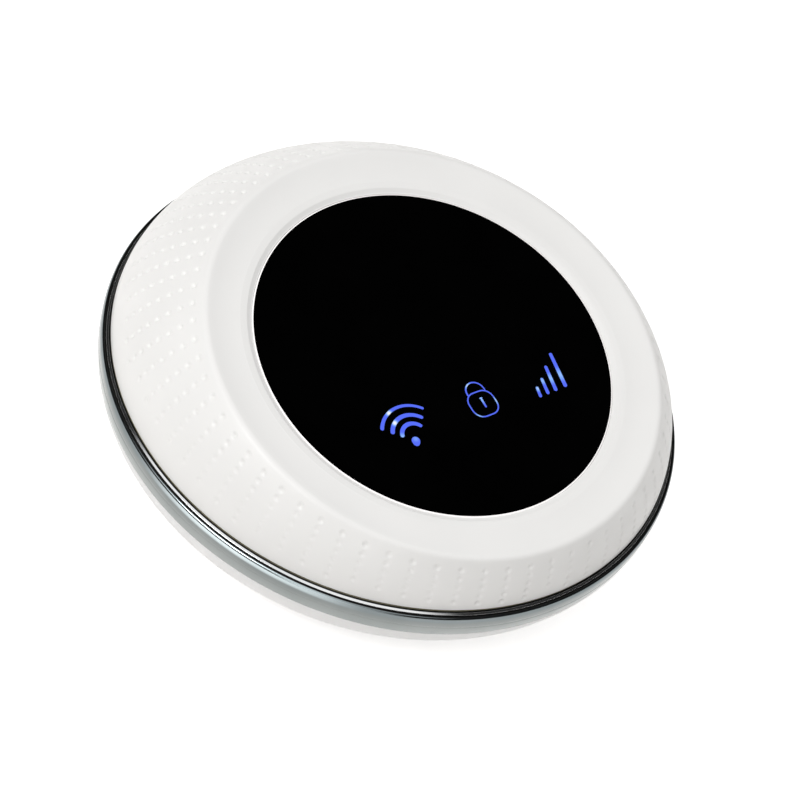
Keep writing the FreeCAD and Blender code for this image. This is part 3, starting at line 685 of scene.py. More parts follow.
# ---- Pieces ----
def dimple_arc(row, run):
    """Distance down the skirt from the crest to a row of dimples, in mm.

    The rows start 2.05 mm down. On the long side they lie 2.1 mm apart and close up as they go
    down, with a small square term. On the short side they lie an even 1.4 mm apart. Between the two
    the spacing goes smoothly with the skirt's own run.
    """
    long_side = np.clip((run - 14.0) / 4.5, 0, 1)
    long_side = long_side * long_side * (3 - 2 * long_side)
    return 2.05 + row * (1.4 + 0.7 * long_side) - 0.055 * long_side * row ** 2


def dimple_limit(run):
    """How far down the skirt the dimples go, in mm: all but a plain foot that widens with the run."""
    return run - 1.2 - 0.33 * np.maximum(run - 9.0, 0)


def skirt_rows(azimuth, shape):
    """Rows of points down the skirt, from the rounding of the crest to the seam, with dimples.

    Rows and columns are laid out round the dimples. A point moves inwards along the surface's
    normal by the depth times the power 1.6 of one less the square of its distance from the nearest
    dimple's middle over the radius, where that is above zero. On the short side the depth halves
    towards the middle rows, and a table of azimuths and strengths (DIMPLE_STRENGTH) makes the rows
    below the first shallower where the mould would otherwise hold the shell.
    """
    radius, depth = shape.dimple_radius / MM, shape.dimple_depth / MM
    shares = np.linspace(1, 0, 120)
    line = skirt(azimuth[None], shares[:, None], SKIRT_RADIUS, RIDGE_RADIUS)
    steps = np.linalg.norm(np.diff(line, axis=0), axis=-1)
    arcs = np.concatenate([np.zeros((1, len(azimuth))), np.cumsum(steps, axis=0)])
    run = arcs[-1]
    across = radius * DIMPLE_STEPS
    targets = [np.full(len(azimuth), shape.crest_round / MM)]
    for row in range(shape.dimple_rows):
        targets += [dimple_arc(row, run) + step for step in across]
    last = targets[-1]
    targets += [last + (run - 0.25 - last) * share for share in (0.25, 0.5, 0.75, 1.0)]
    room = 0.25 + 0.004 * np.arange(len(targets))[::-1, None]
    targets = np.minimum(np.sort(targets, axis=0), run - room)
    found = look_up(arcs, shares, targets)
    points = skirt(azimuth[None], found, SKIRT_RADIUS, RIDGE_RADIUS)
    down = skirt(azimuth[None], found - 1e-3, SKIRT_RADIUS, RIDGE_RADIUS) - points
    along = skirt(azimuth[None] + 1e-3, found, SKIRT_RADIUS, RIDGE_RADIUS) - points
    normal = np.cross(down, along)
    normal /= np.linalg.norm(normal, axis=-1, keepdims=True)
    pitch = 2 * pi / shape.dimple_columns
    offset = (azimuth - np.round(azimuth / pitch) * pitch) * np.linalg.norm(points[..., :2], axis=-1)
    push = np.zeros(targets.shape)
    short = np.clip((18.0 - run) / 4.0, 0, 1)
    strength = np.interp(np.degrees(azimuth) % 360, *DIMPLE_STRENGTH)
    for row in range(shape.dimple_rows):
        middle = dimple_arc(row, run)
        reach = np.hypot(targets - middle, offset) / radius
        share = np.clip(middle / dimple_limit(run), 0, 1)
        fade = (1 - 0.5 * short * np.sin(pi * share)) * (1 - (1 - strength) * np.clip(1.5 * share, 0, 1))
        dent = fade * np.clip(1 - reach ** 2, 0, 1) ** 1.6
        push = np.maximum(push, np.where(middle < dimple_limit(run), dent, 0))
    return points - normal * (push * depth)[..., None]


def dimple_azimuths(shape):
    """Azimuths of the columns of points: nine across each dimple and one halfway to the next."""
    pitch = 2 * pi / shape.dimple_columns
    across = shape.dimple_radius / MM / DIMPLE_RING * DIMPLE_STEPS
    offsets = np.append(across, pitch / 2)
    return (np.arange(shape.dimple_columns)[:, None] * pitch + offsets[None]).reshape(-1)


def collar_rows(azimuth, shape):
    """Rows from the bottom of the window's pocket up to the crest's rounding and over it.

    The lip is straight. The dish is a square curve that leaves the lip nearly level and ends at the
    crest's inner slope. The crest is a square curve from the dish to the skirt whose middle control
    point is the sharp crest itself.
    """
    reach = shape.crest_round / MM
    lip_end = (LIP_EDGE_RADIUS + LIP_WIDTH, LIP_RISE)
    dish_end = (RIDGE_RADIUS - reach * cos(INNER_SLOPE), RIDGE_RISE - reach * sin(INNER_SLOPE))
    half = (dish_end[0] - lip_end[0]) / 2
    middle = (lip_end[0] + half, dish_end[1] - half * tan(INNER_SLOPE))
    lip = rounded([(LIP_EDGE_RADIUS, -DECK_UNDERSIDE, 0), (LIP_EDGE_RADIUS, 0.02, 0.05),
                   (LIP_EDGE_RADIUS + 0.18, 0.04, 0.05), (LIP_EDGE_RADIUS + 0.85, 0.42, 0.4), (*lip_end, 0.7),
                   (*middle, 0)], 5)[:-1]
    t = np.linspace(0, 1, 7)[:, None]
    dish = square_curve(lip_end, middle, dish_end, t)
    profile = np.concatenate([lip, dish[dish[:, 0] > lip[-1][0] + 0.1]])
    inner = face_ring(azimuth[None], profile[:, :1], profile[:, 1:])
    corner = face_ring(azimuth, RIDGE_RADIUS, RIDGE_RISE)
    return inner, corner


def add_top_shell(shape):
    """The moulded top: collar, crest, dimpled skirt, rebate and cavity, as one closed ring."""
    azimuth = dimple_azimuths(shape)
    inner, corner = collar_rows(azimuth, shape)
    outer = skirt_rows(azimuth, shape)
    t = np.linspace(0, 1, 8)[1:-1, None, None]
    crest = square_curve(inner[-1], corner, outer[0], t)

    def round_ring(radius, level):
        """A level circle about the body's axis."""
        return ring_of(azimuth, radius, radius, 0.0, level, 0.0)[None]

    seam = [round_ring(SKIRT_RADIUS - 0.02, SEAM + 0.12), round_ring(SKIRT_RADIUS - 0.14, SEAM),
            round_ring(REBATE_RADIUS, SEAM), round_ring(REBATE_RADIUS, REBATE_TOP)]
    shares = np.linspace(0, 1, 80)
    wall = skirt(azimuth[None], shares[:, None], LIP_INNER, RIDGE_RADIUS - SKIRT_WALL)
    start = look_up(wall[..., 2], shares, np.full((1, len(azimuth)), REBATE_TOP))[0]
    end = look_up(face_height(wall), shares, np.full((1, len(azimuth)), -DECK_UNDERSIDE))[0]
    rows = start + (end - start) * np.linspace(0, 1, 7)[:, None]
    cavity = skirt(azimuth[None], rows, LIP_INNER, RIDGE_RADIUS - SKIRT_WALL)
    ring = np.concatenate([inner, crest, outer, *seam, cavity])
    piece = add_object("top_shell_moulding", [sheet(ring, close_rows=True)])
    return finish_piece(piece, "housing", ["top_shell"], [white_abs()])


def add_window_deck():
    """The deck under the window with its three openings, the screw bosses and two heat stakes.

    The deck is a flat disc, made level and then leaned. The bosses are turned profiles that end
    where the leaning plane of the deck stands above each of them.
    """
    edge, underside = LIP_EDGE_RADIUS + 0.35, -DECK_UNDERSIDE + 0.02
    profile = np.array([(0, underside), (edge, underside), (edge, -POCKET_DEPTH), (0, -POCKET_DEPTH)])
    openings = [prism(*SYMBOL_WINDOW_SIZE, 0.2, -DECK_UNDERSIDE - 1, 1, 3, x, y) for x, y in SYMBOL_WINDOWS]
    piece = carve(add_object("window_deck", [lathe(profile, 144)]), taken=openings)
    piece.data.transform(Matrix.Translation(WINDOW_CENTRE * MM) @ Matrix.Rotation(TILT, 4, "X"))
    bosses = []
    start, pilot = BOARD_TOP + CLAMP_GAP, SCREW_HIGH[2] + PILOT_SPARE
    for x, y in BOSSES:
        top = WINDOW_CENTRE[2] + (y - WINDOW_CENTRE[1]) * tan(TILT) - (DECK_UNDERSIDE - BOSS_ROOT) / cos(TILT)
        boss = np.array([(0, pilot), (PILOT_RADIUS, pilot), (PILOT_RADIUS, start), (UPPER_BOSS_RADIUS, start),
                         (UPPER_BOSS_RADIUS, top), (0, top)])
        bosses.append(lathe(boss, 40, x, y))
    rows = [(0.15, -DECK_UNDERSIDE - STAKE_LENGTH), (0, -DECK_UNDERSIDE - STAKE_LENGTH + 0.15),
            (0, -POCKET_DEPTH - 0.6)]
    for (x0, y0), (x1, y1) in zip(SYMBOL_WINDOWS, SYMBOL_WINDOWS[1:]):
        stake = pad_sections(STAKE_WIDTH, STAKE_WIDTH, STAKE_WIDTH / 2, rows, 6)
        bosses.append(capped(on_face(upright(stake, (x0 + x1) / 2, (y0 + y1) / 2))))
    extra = add_object("window_deck_bosses", bosses)
    work = bmesh.new()
    work.from_mesh(piece.data)
    work.from_mesh(extra.data)
    work.to_mesh(piece.data)
    work.free()
    discard(extra)
    return finish_piece(piece, "housing", ["top_shell"], [white_abs()])


def add_window(shape):
    """The window: a clear disc, printed black behind, with a bevelled and polished clear edge that is given a
    painted glow.
    """
    drop = shape.window_edge / MM
    rim = WINDOW_RADIUS + WINDOW_BEVEL
    profile = rounded([(0, -WINDOW_THICKNESS, 0), (rim, -WINDOW_THICKNESS, 0.1), (rim, -drop, 0.03),
                       (WINDOW_RADIUS, 0.0, 0), (0, 0.0, 0)], 5)
    points, faces = lathe(profile, 288)
    piece = add_object("window_lens", [(on_face(points), faces)])
    # Acrylic sheet, laser cut and screen printed black behind: deep black with a hard, clear gloss.
    black = surface("acrylic_printed_black", chosen("window_colour"), linear("010101"), 0.07,
                    grain_mm=6.0, depth_mm=0.0004, polish=0.02,
                    extra={"Specular IOR Level": 0.12})
    # The same acrylic past the print, diamond cut to a bevel, given a painted glow: a weak emission makes it
    # show as a bright line.
    clear = surface("acrylic_clear_edge", linear("F8F5F4"), linear("F4F0EF"), 0.18, grain_mm=0.4,
                    depth_mm=0.002, extra={"Emission Color": linear("FFFCFB"), "Emission Strength": 0.26})
    finish_piece(piece, "housing", ["display_lens"], [black, clear], crease=20.0)

    def choose(middles):
        """Clear past the print's radius and near the top, black elsewhere."""
        flat = middles - WINDOW_CENTRE
        radius = np.hypot(flat[:, 0], flat @ WINDOW_BACK)
        return (radius > WINDOW_RADIUS) & (flat @ WINDOW_UP > -0.5)

    paint_by(piece, choose)
    return piece


def stroke(path, widths, height, lift):
    """A lit line on the window: a thin bar along a path, its ends rounded.

    Across the path the bar is a flat box. Its half width follows the given widths, and within a
    half width of either end it follows a circle, so the end is round.
    """
    path = np.asarray(path, float)
    steps = np.linalg.norm(np.diff(path, axis=0), axis=1)
    way = np.concatenate([[0], np.cumsum(steps)])
    half = np.interp(np.linspace(0, 1, len(path)), np.linspace(0, 1, len(widths)), widths) / 2
    cap = np.sin(np.linspace(0, pi / 2, 7))
    inner = np.linspace(half[0], way[-1] - half[-1], max(len(path), 4))
    places = np.concatenate([half[0] * (1 - cap[::-1])[:-1], inner, way[-1] - half[-1] * (1 - cap)[1:]])
    wide = np.interp(places, way, half)
    near = np.minimum(places / half[0], (way[-1] - places) / half[-1])
    wide = wide * np.sqrt(np.clip(1 - (1 - np.clip(near, 0, 1)) ** 2, 0, 1))
    wide = np.maximum(wide, 0.004)
    x, y = np.interp(places, way, path[:, 0]), np.interp(places, way, path[:, 1])
    heading = np.arctan2(np.gradient(y, places), np.gradient(x, places))
    side = np.stack([-np.sin(heading), np.cos(heading)], axis=-1) * wide[:, None]
    middle = np.stack([x, y], axis=-1)
    corners = ((1, lift), (-1, lift), (-1, lift + height), (1, lift + height))
    return capped(np.stack([at_level(middle + sign * side, level) for sign, level in corners], axis=1))


def arc_path(centre, radius, start, end, points=28):
    """Points round part of a circle, between two angles in degrees."""
    return arc(centre, radius, np.radians(np.linspace(start, end, points)))


def straight(start, end, points=8):
    """Points along a straight line."""
    return np.array(start) + (np.array(end) - np.array(start)) * np.linspace(0, 1, points)[:, None]


def add_symbols(shape):
    """Three lit symbols on the window: wireless arcs, a padlock and signal bars."""
    height = shape.symbol_height / MM
    lit = symbol_light()
    wireless = [stroke(arc_path(ARC_HEART, radius, start, end), widths, height, SYMBOL_LIFT)
                for radius, start, end, widths in ARCS]
    dot = straight((-10.45, -12.35), (-10.85, -13.85), 10)
    wireless.append(stroke(dot, (1.36, 1.3, 0.8), height, SYMBOL_LIFT))
    body = pill_outline(4.5, 4.15, 1.6, 8)
    shackle = np.concatenate([straight((-1.55, 1.9), (-1.5, 2.2), 4), arc_path((0.05, 2.2), 1.55, 178, 2, 20),
                              straight((1.6, 2.2), (1.65, 1.9), 4)])
    rotate = np.array([[cos(PADLOCK_TURN), -sin(PADLOCK_TURN)], [sin(PADLOCK_TURN), cos(PADLOCK_TURN)]])
    padlock = []
    # The shackle and the lower half of the keyhole lie a hair lower or higher where strokes cross.
    for path, widths, lift in ((np.concatenate([body, body[:1]]), (0.2, 0.2), SYMBOL_LIFT),
                               (shackle, (0.26, 0.22, 0.18), 0.004),
                               (straight((0.2, 1.05), (0.18, 0.75)), (0.66, 0.56), SYMBOL_LIFT),
                               (straight((0.18, 0.75), (0.14, -0.75)), (0.34, 0.28), 0.006)):
        padlock.append(stroke(path @ rotate.T + np.array(PADLOCK_PLACE), widths, height, lift))
    bars = [stroke(straight(foot, tip), (wide, wide * 0.85), height, SYMBOL_LIFT) for foot, tip, wide in BARS]
    made = []
    for name, parts in (("symbol_wireless", wireless), ("symbol_padlock", padlock), ("symbol_bars", bars)):
        piece = add_object(name, [(on_face(points), faces) for points, faces in parts])
        made.append(finish_piece(piece, "housing", [], [lit]))
    return made


def symbol_light():
    """Polyester film, screen printed blue and lit from below: saturated blue, and whiter where a
    light pipe ends under it."""
    material, tree, shader, place = new_material("lit_blue_film", {
        "Base Color": linear("05060F"), "Roughness": 0.4, "Emission Strength": 1.0})
    glow = None
    for x, y, radius, strength in LIGHT_PIPES:
        spot = on_face(np.array([x, y, 0.0])) * MM
        away = add_node(tree, "VectorMath", {"operation": "DISTANCE"},
                        {0: place, 1: tuple(spot)}).outputs["Value"]
        near = map_range(tree, away, 0.0, radius * MM, 1.0, 0.0, "SMOOTHSTEP")
        part = calculate(tree, "MULTIPLY", near, strength)
        glow = part if glow is None else calculate(tree, "MAXIMUM", glow, part)
    stops = ((0, chosen("symbol_colour")), (0.45, linear("86B4FF")), (1, linear("FFFFFF")))
    tree.links.new(colour_ramp(tree, glow, stops), shader.inputs["Emission Color"])
    return material


def port_tools(near, far):
    """Prisms that open the ports, between two distances out: socket, buttons, tray and reset hole."""
    half = (SOCKET_HIGH[0] - SOCKET_LOW[0]) / 2 + SOCKET_GAP
    low, high = SOCKET_LOW[2] - SOCKET_GAP, SOCKET_HIGH[2] + SOCKET_GAP
    cut = low + SOCKET_CORNER
    outline = np.array([(-half + SOCKET_CORNER, low), (half - SOCKET_CORNER, low), (half, cut), (half, high),
                        (-half, high), (-half, cut)])
    sections = np.array([at_level(outline, level) for level in (near, far)])
    tools = [capped(outwards(sections, 90.0, 0.0))]
    holes = [(*BUTTON_SIZE, BUTTON_GAP, azimuth, 10) for azimuth in BUTTONS.values()]
    holes += [(*TRAY_FACE, TRAY_GAP, 0.0, 10), (RESET_BORE, RESET_BORE, 0.0, RESET_AZIMUTH, 6)]
    for length, width, gap, azimuth, steps in holes:
        length, width = length + 2 * gap, width + 2 * gap
        pad = pad_sections(length, width, width / 2, [(0, near), (0, far)], steps)
        tools.append(capped(outwards(pad, azimuth)))
    return tools


def add_trim_band(shape):
    """The trim band, all one turned profile. Behind the skirt's foot lies a groove, then a thin wire whose
    top slopes outwards, a second groove, and a shoulder that is a quarter of an ellipse, above a belt. Both
    grooves are painted black as shade, and the lip next to the skirt's foot is painted olive as a reflection
    of the shaded skirt. The belt follows the bowl's own curve, with a fine line scored round it."""
    side = BODY_RADIUS - 0.01
    wire = (WIRE_RADIUS - WIRE_WIDTH / 2, WIRE_RADIUS + WIRE_WIDTH / 2)
    rim = wire[1] + GROOVE_WIDTH
    inner, outer = BAND_TOP - INNER_GROOVE, BAND_TOP - OUTER_GROOVE
    corners = [(REBATE_RADIUS, BELT_FOOT, 0), (REBATE_RADIUS, BAND_TOP, 0.05),
               (SKIRT_RADIUS - 0.1, BAND_TOP, 0.05), (SKIRT_RADIUS + 0.06, inner, 0.03),
               (wire[0] - 0.02, inner, 0.03), (wire[0], BAND_TOP, 0.05),
               (wire[1], BAND_TOP - WIRE_WIDTH * tan(WIRE_SLOPE), 0.08), (wire[1] + 0.02, outer, 0.03),
               (rim - 0.02, outer, 0.03), (rim - 0.01, BAND_TOP - SHOULDER_DROP - 0.04, 0.02)]
    turn = np.linspace(pi / 2, 0, 10)
    corners += [(rim + (side - rim) * cos(a), BELT_TOP + (BAND_TOP - SHOULDER_DROP - BELT_TOP) * sin(a), 0)
                for a in turn]
    corners += [(bowl_radius(z) - 0.01, z, 0) for z in np.linspace(BELT_TOP - 0.1, SCORE_LEVEL + 0.1, 6)]
    corners += [(bowl_radius(SCORE_LEVEL) - shape.score_depth / MM, SCORE_LEVEL, 0)]
    corners += [(bowl_radius(z) - 0.01, z, 0) for z in np.linspace(SCORE_LEVEL - 0.1, BELT_FOOT, 8)]
    piece = add_object("trim_band", [lathe(rounded(corners, 9), 360, closed=True)])
    carve(piece, taken=port_tools(LIP_INNER - 1, BODY_RADIUS + 5))
    # Painted shade and reflection: the grooves beside the wire are coloured matt black for the shade in them,
    # and the lip at the skirt's foot is coloured olive for the shaded skirt that the chrome would mirror
    # there.
    lip = surface("olive_seal_lip", linear("8A8468"), linear("736D55"), 0.5, grain_mm=0.3)
    groove_shade = surface("black_seal_groove", linear("0B0B0A"), linear("141412"), 0.4, grain_mm=0.3)
    # Wire: steel, drawn and chrome plated, so it mirrors crisply.
    chrome = surface("polished_chrome_wire", chosen("wire_colour"), linear("D4D6D8"), 0.08,
                     metallic=1.0, grain_mm=2.0, depth_mm=0.002, polish=0.03)
    finish_piece(piece, "housing", ["chrome_band"], [lip, groove_shade, chrome, belt_metal()])

    def choose(middles):
        """Belt from the shoulder outwards, wire at its own radius, the grooves painted black as shade, and
        the lip inside painted olive as a reflection.
        """
        radius = np.hypot(middles[:, 0], middles[:, 1])
        on_wire = (np.abs(radius - WIRE_RADIUS) < WIRE_WIDTH / 2 + 0.005) & (middles[:, 2] > BAND_TOP - 0.24)
        on_belt = (radius > rim - 0.005) | ((middles[:, 2] < BELT_TOP) & (radius > BODY_RADIUS - 1))
        return np.select([on_belt, on_wire, radius > SKIRT_RADIUS - 0.05], [3, 2, 1], 0)

    paint_by(piece, choose)
    return piece


def belt_metal():
    """Vacuum-metallised ABS under a satin lacquer: a smooth grey metal that mirrors softly. A painted
    highlight brightens its colour on a stretch of the shoulder on the near left."""
    material = surface("metallised_satin_belt", chosen("belt_colour"), linear("B8BCBC"), 0.16,
                       metallic=1.0, grain_mm=0.6, depth_mm=0.001, polish=0.05)
    # The tones go by height: foot, scored line and shoulder. The painted highlight goes by azimuth and
    # height.
    tree = material.node_tree
    shader = next(node for node in tree.nodes if node.bl_idname == "ShaderNodeBsdfPrincipled")
    colour = shader.inputs["Base Color"].links[0].from_socket
    place = add_node(tree, "TexCoord").outputs["Object"]
    height = add_node(tree, "SeparateXYZ", inputs={0: place}).outputs["Z"]
    share = map_range(tree, height, BELT_FOOT * MM, BAND_TOP * MM)
    score = (SCORE_LEVEL - BELT_FOOT) / (BAND_TOP - BELT_FOOT)
    stops = [(position, linear(code)) for position, code in (
        (0, "B6BAB9"), (score - 0.03, "B0B3B2"), (score + 0.03, "ABAEAD"), (0.7, "A0A4A4"), (0.77, "9EA5A7"),
        (0.93, "A2A9AC"))]
    tint = add_node(tree, "VectorMath", {"operation": "MULTIPLY"},
                    {0: colour, 1: colour_ramp(tree, share, stops)})
    # Painted highlight: the belt's colour is scaled up on the shoulder near one azimuth.
    near = toward(tree, place, (cos(PAINTED_HIGHLIGHT_AZIMUTH), sin(PAINTED_HIGHLIGHT_AZIMUTH), 0), PAINTED_HIGHLIGHT_CONE)
    high = map_range(tree, share, *PAINTED_HIGHLIGHT_SHARE)
    painted_highlight = calculate(tree, "MULTIPLY_ADD", calculate(tree, "MULTIPLY", near, high), PAINTED_HIGHLIGHT_GAIN, 1.0)
    tint = add_node(tree, "VectorMath", {"operation": "SCALE"}, {0: tint.outputs[0], "Scale": painted_highlight})
    tree.links.new(tint.outputs[0], shader.inputs["Base Color"])
    return material


def add_bowl():
    """The bottom bowl: flat base, round corner, rim and locating lip, all one turned profile, with
    the battery's bay, the cover's recess, screw bosses, foot recesses and port openings carved in."""
    outside = bowl_arc(RIM, 0.0, 30)[::-1]
    knee = CORNER_LEVEL - sqrt((CORNER_RADIUS - SHELL_WALL) ** 2 - (LIP_INNER - CORNER_RING) ** 2)
    inside = bowl_arc(knee, -SHELL_WALL, 14)
    floor, deck = BASE + SHELL_WALL, BOARD_LOW[2]
    lip = [(LIP_OUTER, RIM), (LIP_OUTER, LIP_TOP), (LIP_INNER, LIP_TOP)]
    profile = np.concatenate([[(0, BASE), (20, BASE)], outside, lip, inside, [(20, floor), (0, floor)]])
    piece = add_object("bottom_bowl", [lathe(profile, 240)])

    def room(grow, low, high):
        """The battery's room and the niche for its contacts, grown by a margin."""
        half_x = (BATTERY_HIGH[0] - BATTERY_LOW[0]) / 2 + BAY_GAP + grow
        half_y = (BATTERY_HIGH[1] - BATTERY_LOW[1]) / 2 + (COVER_RIB + BAY_GAP) + grow
        end = CONTACT_LOW[0] - CONTACT_GAP - grow
        niche = (CONTACT_HIGH[1] - CONTACT_LOW[1]) / 2 + CONTACT_GAP + grow
        return [prism(2 * half_x, 2 * half_y, 0.3, low, high, 3),
                prism(-end, 2 * niche, 0.3, low, high, 3, end / 2)]

    root = floor - 0.9
    boss = np.array([(0, root), (LOWER_BOSS_RADIUS, root), (LOWER_BOSS_RADIUS, deck), (0, deck)])
    seat, head = BASE + FOOT_SEAT[1], SCREW_LOW[2] + HEAD_HEIGHT
    hole = np.array([(0, BASE - 1), (FOOT_SEAT[0], BASE - 1), (FOOT_SEAT[0], seat), (HEAD_BORE, seat),
                     (HEAD_BORE, head), (SHANK_BORE, head), (SHANK_BORE, deck + 1), (0, deck + 1)])
    slot = CONTACT_HIGH[1] - CONTACT_LOW[1] + 2 * CONTACT_GAP
    length, width = (COVER_HIGH - COVER_LOW)[:2]
    taken = [*room(0.0, BASE - 1, deck - BAY_ROOF),
             prism(2.6, slot, 0.1, deck - 1.6, deck + 1, 3, CONTACT_LOW[0] + 1.1),
             prism(length + 2 * COVER_GAP, width + 2 * COVER_GAP, COVER_ROUND + COVER_GAP, BASE - 1,
                   COVER_TOP + 0.1),
             *[lathe(hole, 48, x, y) for x, y in BOSSES], scoop_tool(),
             *port_tools(LIP_INNER - 1, BODY_RADIUS + 5)]
    bosses = [lathe(boss, 40, x, y) for x, y in BOSSES]
    carve(piece, taken=taken, added=room(BAY_WALL, BASE + 0.6, deck) + bosses)
    return finish_piece(piece, "housing", ["bottom_shell"], [painted_light_base_abs()])


def scoop_tool():
    """Scoop for a fingernail: a level cylinder half in the cover's end and half in the bowl."""
    centre = (COVER_HIGH[0] + COVER_GAP, BASE + SCOOP_DEPTH - SCOOP_RADIUS)
    x, z = arc(centre, SCOOP_RADIUS, np.arange(64) * 2 * pi / 64).T
    ends = (-SCOOP_LENGTH / 2, SCOOP_LENGTH / 2)
    return capped(np.array([np.column_stack([x, np.full(64, y), z]) for y in ends]))


def add_battery_cover():
    """The battery's cover: a plate with soft edges, two ribs inside and a scoop at one end."""
    length, width = (COVER_HIGH - COVER_LOW)[:2]
    soft = [(0.28, BASE), (0.13, BASE + 0.04), (0.04, BASE + 0.13), (0, BASE + 0.28), (0, COVER_TOP - 0.1),
            (0.1, COVER_TOP)]
    piece = add_object("battery_door", [capped(pad_sections(length, width, COVER_ROUND, soft, 16))])
    rib = pad_sections(BATTERY_HIGH[0] - BATTERY_LOW[0], COVER_RIB, 0.15,
                       [(0, COVER_TOP - 0.65), (0, COVER_HIGH[2] - 0.15), (0.15, COVER_HIGH[2])], 4)
    away = (BATTERY_HIGH[1] - BATTERY_LOW[1]) / 2 + RIB_GAP + COVER_RIB / 2
    carve(piece, taken=[scoop_tool()], added=[capped(upright(rib, 0, y)) for y in (-away, away)])
    return finish_piece(piece, "battery_cover", ["battery_cover"], [painted_light_base_abs()])


def band_front(u, v, proud):
    """Distance along the port's line to a surface that stands proud of the bowl, at a point across
    and up from that line."""
    return np.sqrt(bowl_radius(PORT_LEVEL + v, proud) ** 2 - u ** 2)


def curved_cap(length, width, radius, back, rows, azimuth, proud):
    """A pad whose front follows the bowl's curve, for rows (inset, drop behind that front).

    Each section's distance out is the curved front less the drop, or the flat back where the drop
    is None.
    """
    sections = []
    for inset, drop in rows:
        outline = pill_outline(length - 2 * inset, width - 2 * inset, max(radius - inset, 0.02), 12)
        front = band_front(outline[:, 0], outline[:, 1], proud)
        sections.append(at_level(outline, back if drop is None else front - drop))
    return capped(outwards(np.array(sections), azimuth))


# Fronts of the buttons and of the tray, as rows (inset, drop) for curved_cap.
SOFT_FRONT = [(0, None), (0, 0.45), (0.03, 0.2), (0.12, 0.07), (0.28, 0.01), (0.55, 0.0), (1.0, 0.0)]
TRAY_FRONT = [(0, None), (0, 0.25), (0.06, 0.06), (0.22, 0.0), (0.9, 0.0)]


def add_buttons():
    """Power and pairing buttons: pills that follow the band's curve, with a flange behind."""
    # Grey ABS, injection moulded in a polished mould, so a little glossier than the shells.
    grey = surface("moulded_grey_abs", linear("C9CBCE"), linear("BFC2C6"), 0.38, grain_mm=0.2,
                   depth_mm=0.002)
    back = LIP_INNER - 0.85
    rows = [(0.1, back + 0.02), (0, back + 0.12), (0, back + 0.62), (0.1, back + 0.7)]
    for name, azimuth in BUTTONS.items():
        cap = curved_cap(*BUTTON_SIZE, BUTTON_SIZE[1] / 2, back, SOFT_FRONT, azimuth, BUTTON_PROUD)
        flange = pad_sections(BUTTON_SIZE[0] + 2 * BUTTON_WING, BUTTON_SIZE[1], 0.3, rows, 4)
        piece = add_object(name + "_cap", [cap, capped(outwards(flange, azimuth))])
        finish_piece(piece, name, [name], [grey])


def add_tray():
    """The SIM tray: a curved face with a pin hole, and a plate with a seat for the card."""
    # Grey glass-filled nylon, injection moulded: a darker grey with a dull satin skin.
    satin = surface("moulded_grey_tray", linear("AEB4B8"), linear("A4AAAE"), 0.4, grain_mm=0.2,
                    depth_mm=0.002)
    face = curved_cap(*TRAY_FACE, TRAY_FACE[1] / 2, LIP_INNER, TRAY_FRONT, 0.0, 0.0)
    low, high = PORT_LEVEL - TRAY_PLATE[1] / 2, PORT_LEVEL + TRAY_PLATE[1] / 2
    start, end = TRAY_LOW[0], LIP_INNER + 0.6
    plate = pad_sections(end - start, TRAY_PLATE[0], 0.75,
                         [(0.06, low), (0, low + 0.06), (0, high - 0.06), (0.06, high)], 6)
    piece = add_object("sim_tray_body", [capped(upright(plate, (start + end) / 2))])

    def card_room(grow, bottom, top):
        """The card's outline, with one corner cut off, grown by a margin."""
        near, far = CARD_LOW[0] - grow, CARD_HIGH[0] + grow
        half = (CARD_HIGH[1] - CARD_LOW[1]) / 2 + grow
        outline = np.array([(near, -half), (far - 1.5, -half), (far, -half + 1.5), (far, half), (near, half)])
        return capped(np.array([at_level(outline, level) for level in (bottom, top)]))

    pin = pad_sections(TRAY_PIN_BORE, TRAY_PIN_BORE, TRAY_PIN_BORE / 2,
                       [(0, LIP_INNER - 1), (0, BODY_RADIUS + 2)], 8)
    pin = capped(outwards(pin + np.array([TRAY_FACE[0] / 2 - 1.8, 0, 0]), 0.0))
    seat, window = card_room(0.1, CARD_LOW[2], high + 1), card_room(-0.8, low - 1, high)
    carve(piece, taken=[seat, window, pin], added=[face])
    return finish_piece(piece, "sim_tray", ["sim_tray"], [satin])


def add_feet():
    """Four rubber feet with soft lower edges, in their recesses."""
    # Silicone rubber, compression moulded: matt, with a fine grain.
    rubber = surface("moulded_grey_rubber", linear("8E9194"), linear("84878A"), 0.75, grain_mm=0.35,
                     depth_mm=0.01)
    top = FEET_HIGH[2]
    profile = rounded([(0, FLOOR_LEVEL, 0), (FOOT_RADIUS, FLOOR_LEVEL, 0.35), (FOOT_RADIUS, top, 0.05),
                       (0, top, 0)], 6)
    piece = add_object("rubber_feet_pads", [lathe(profile, 64, x, y) for x, y in BOSSES])
    return finish_piece(piece, "housing", ["rubber_feet"], [rubber])


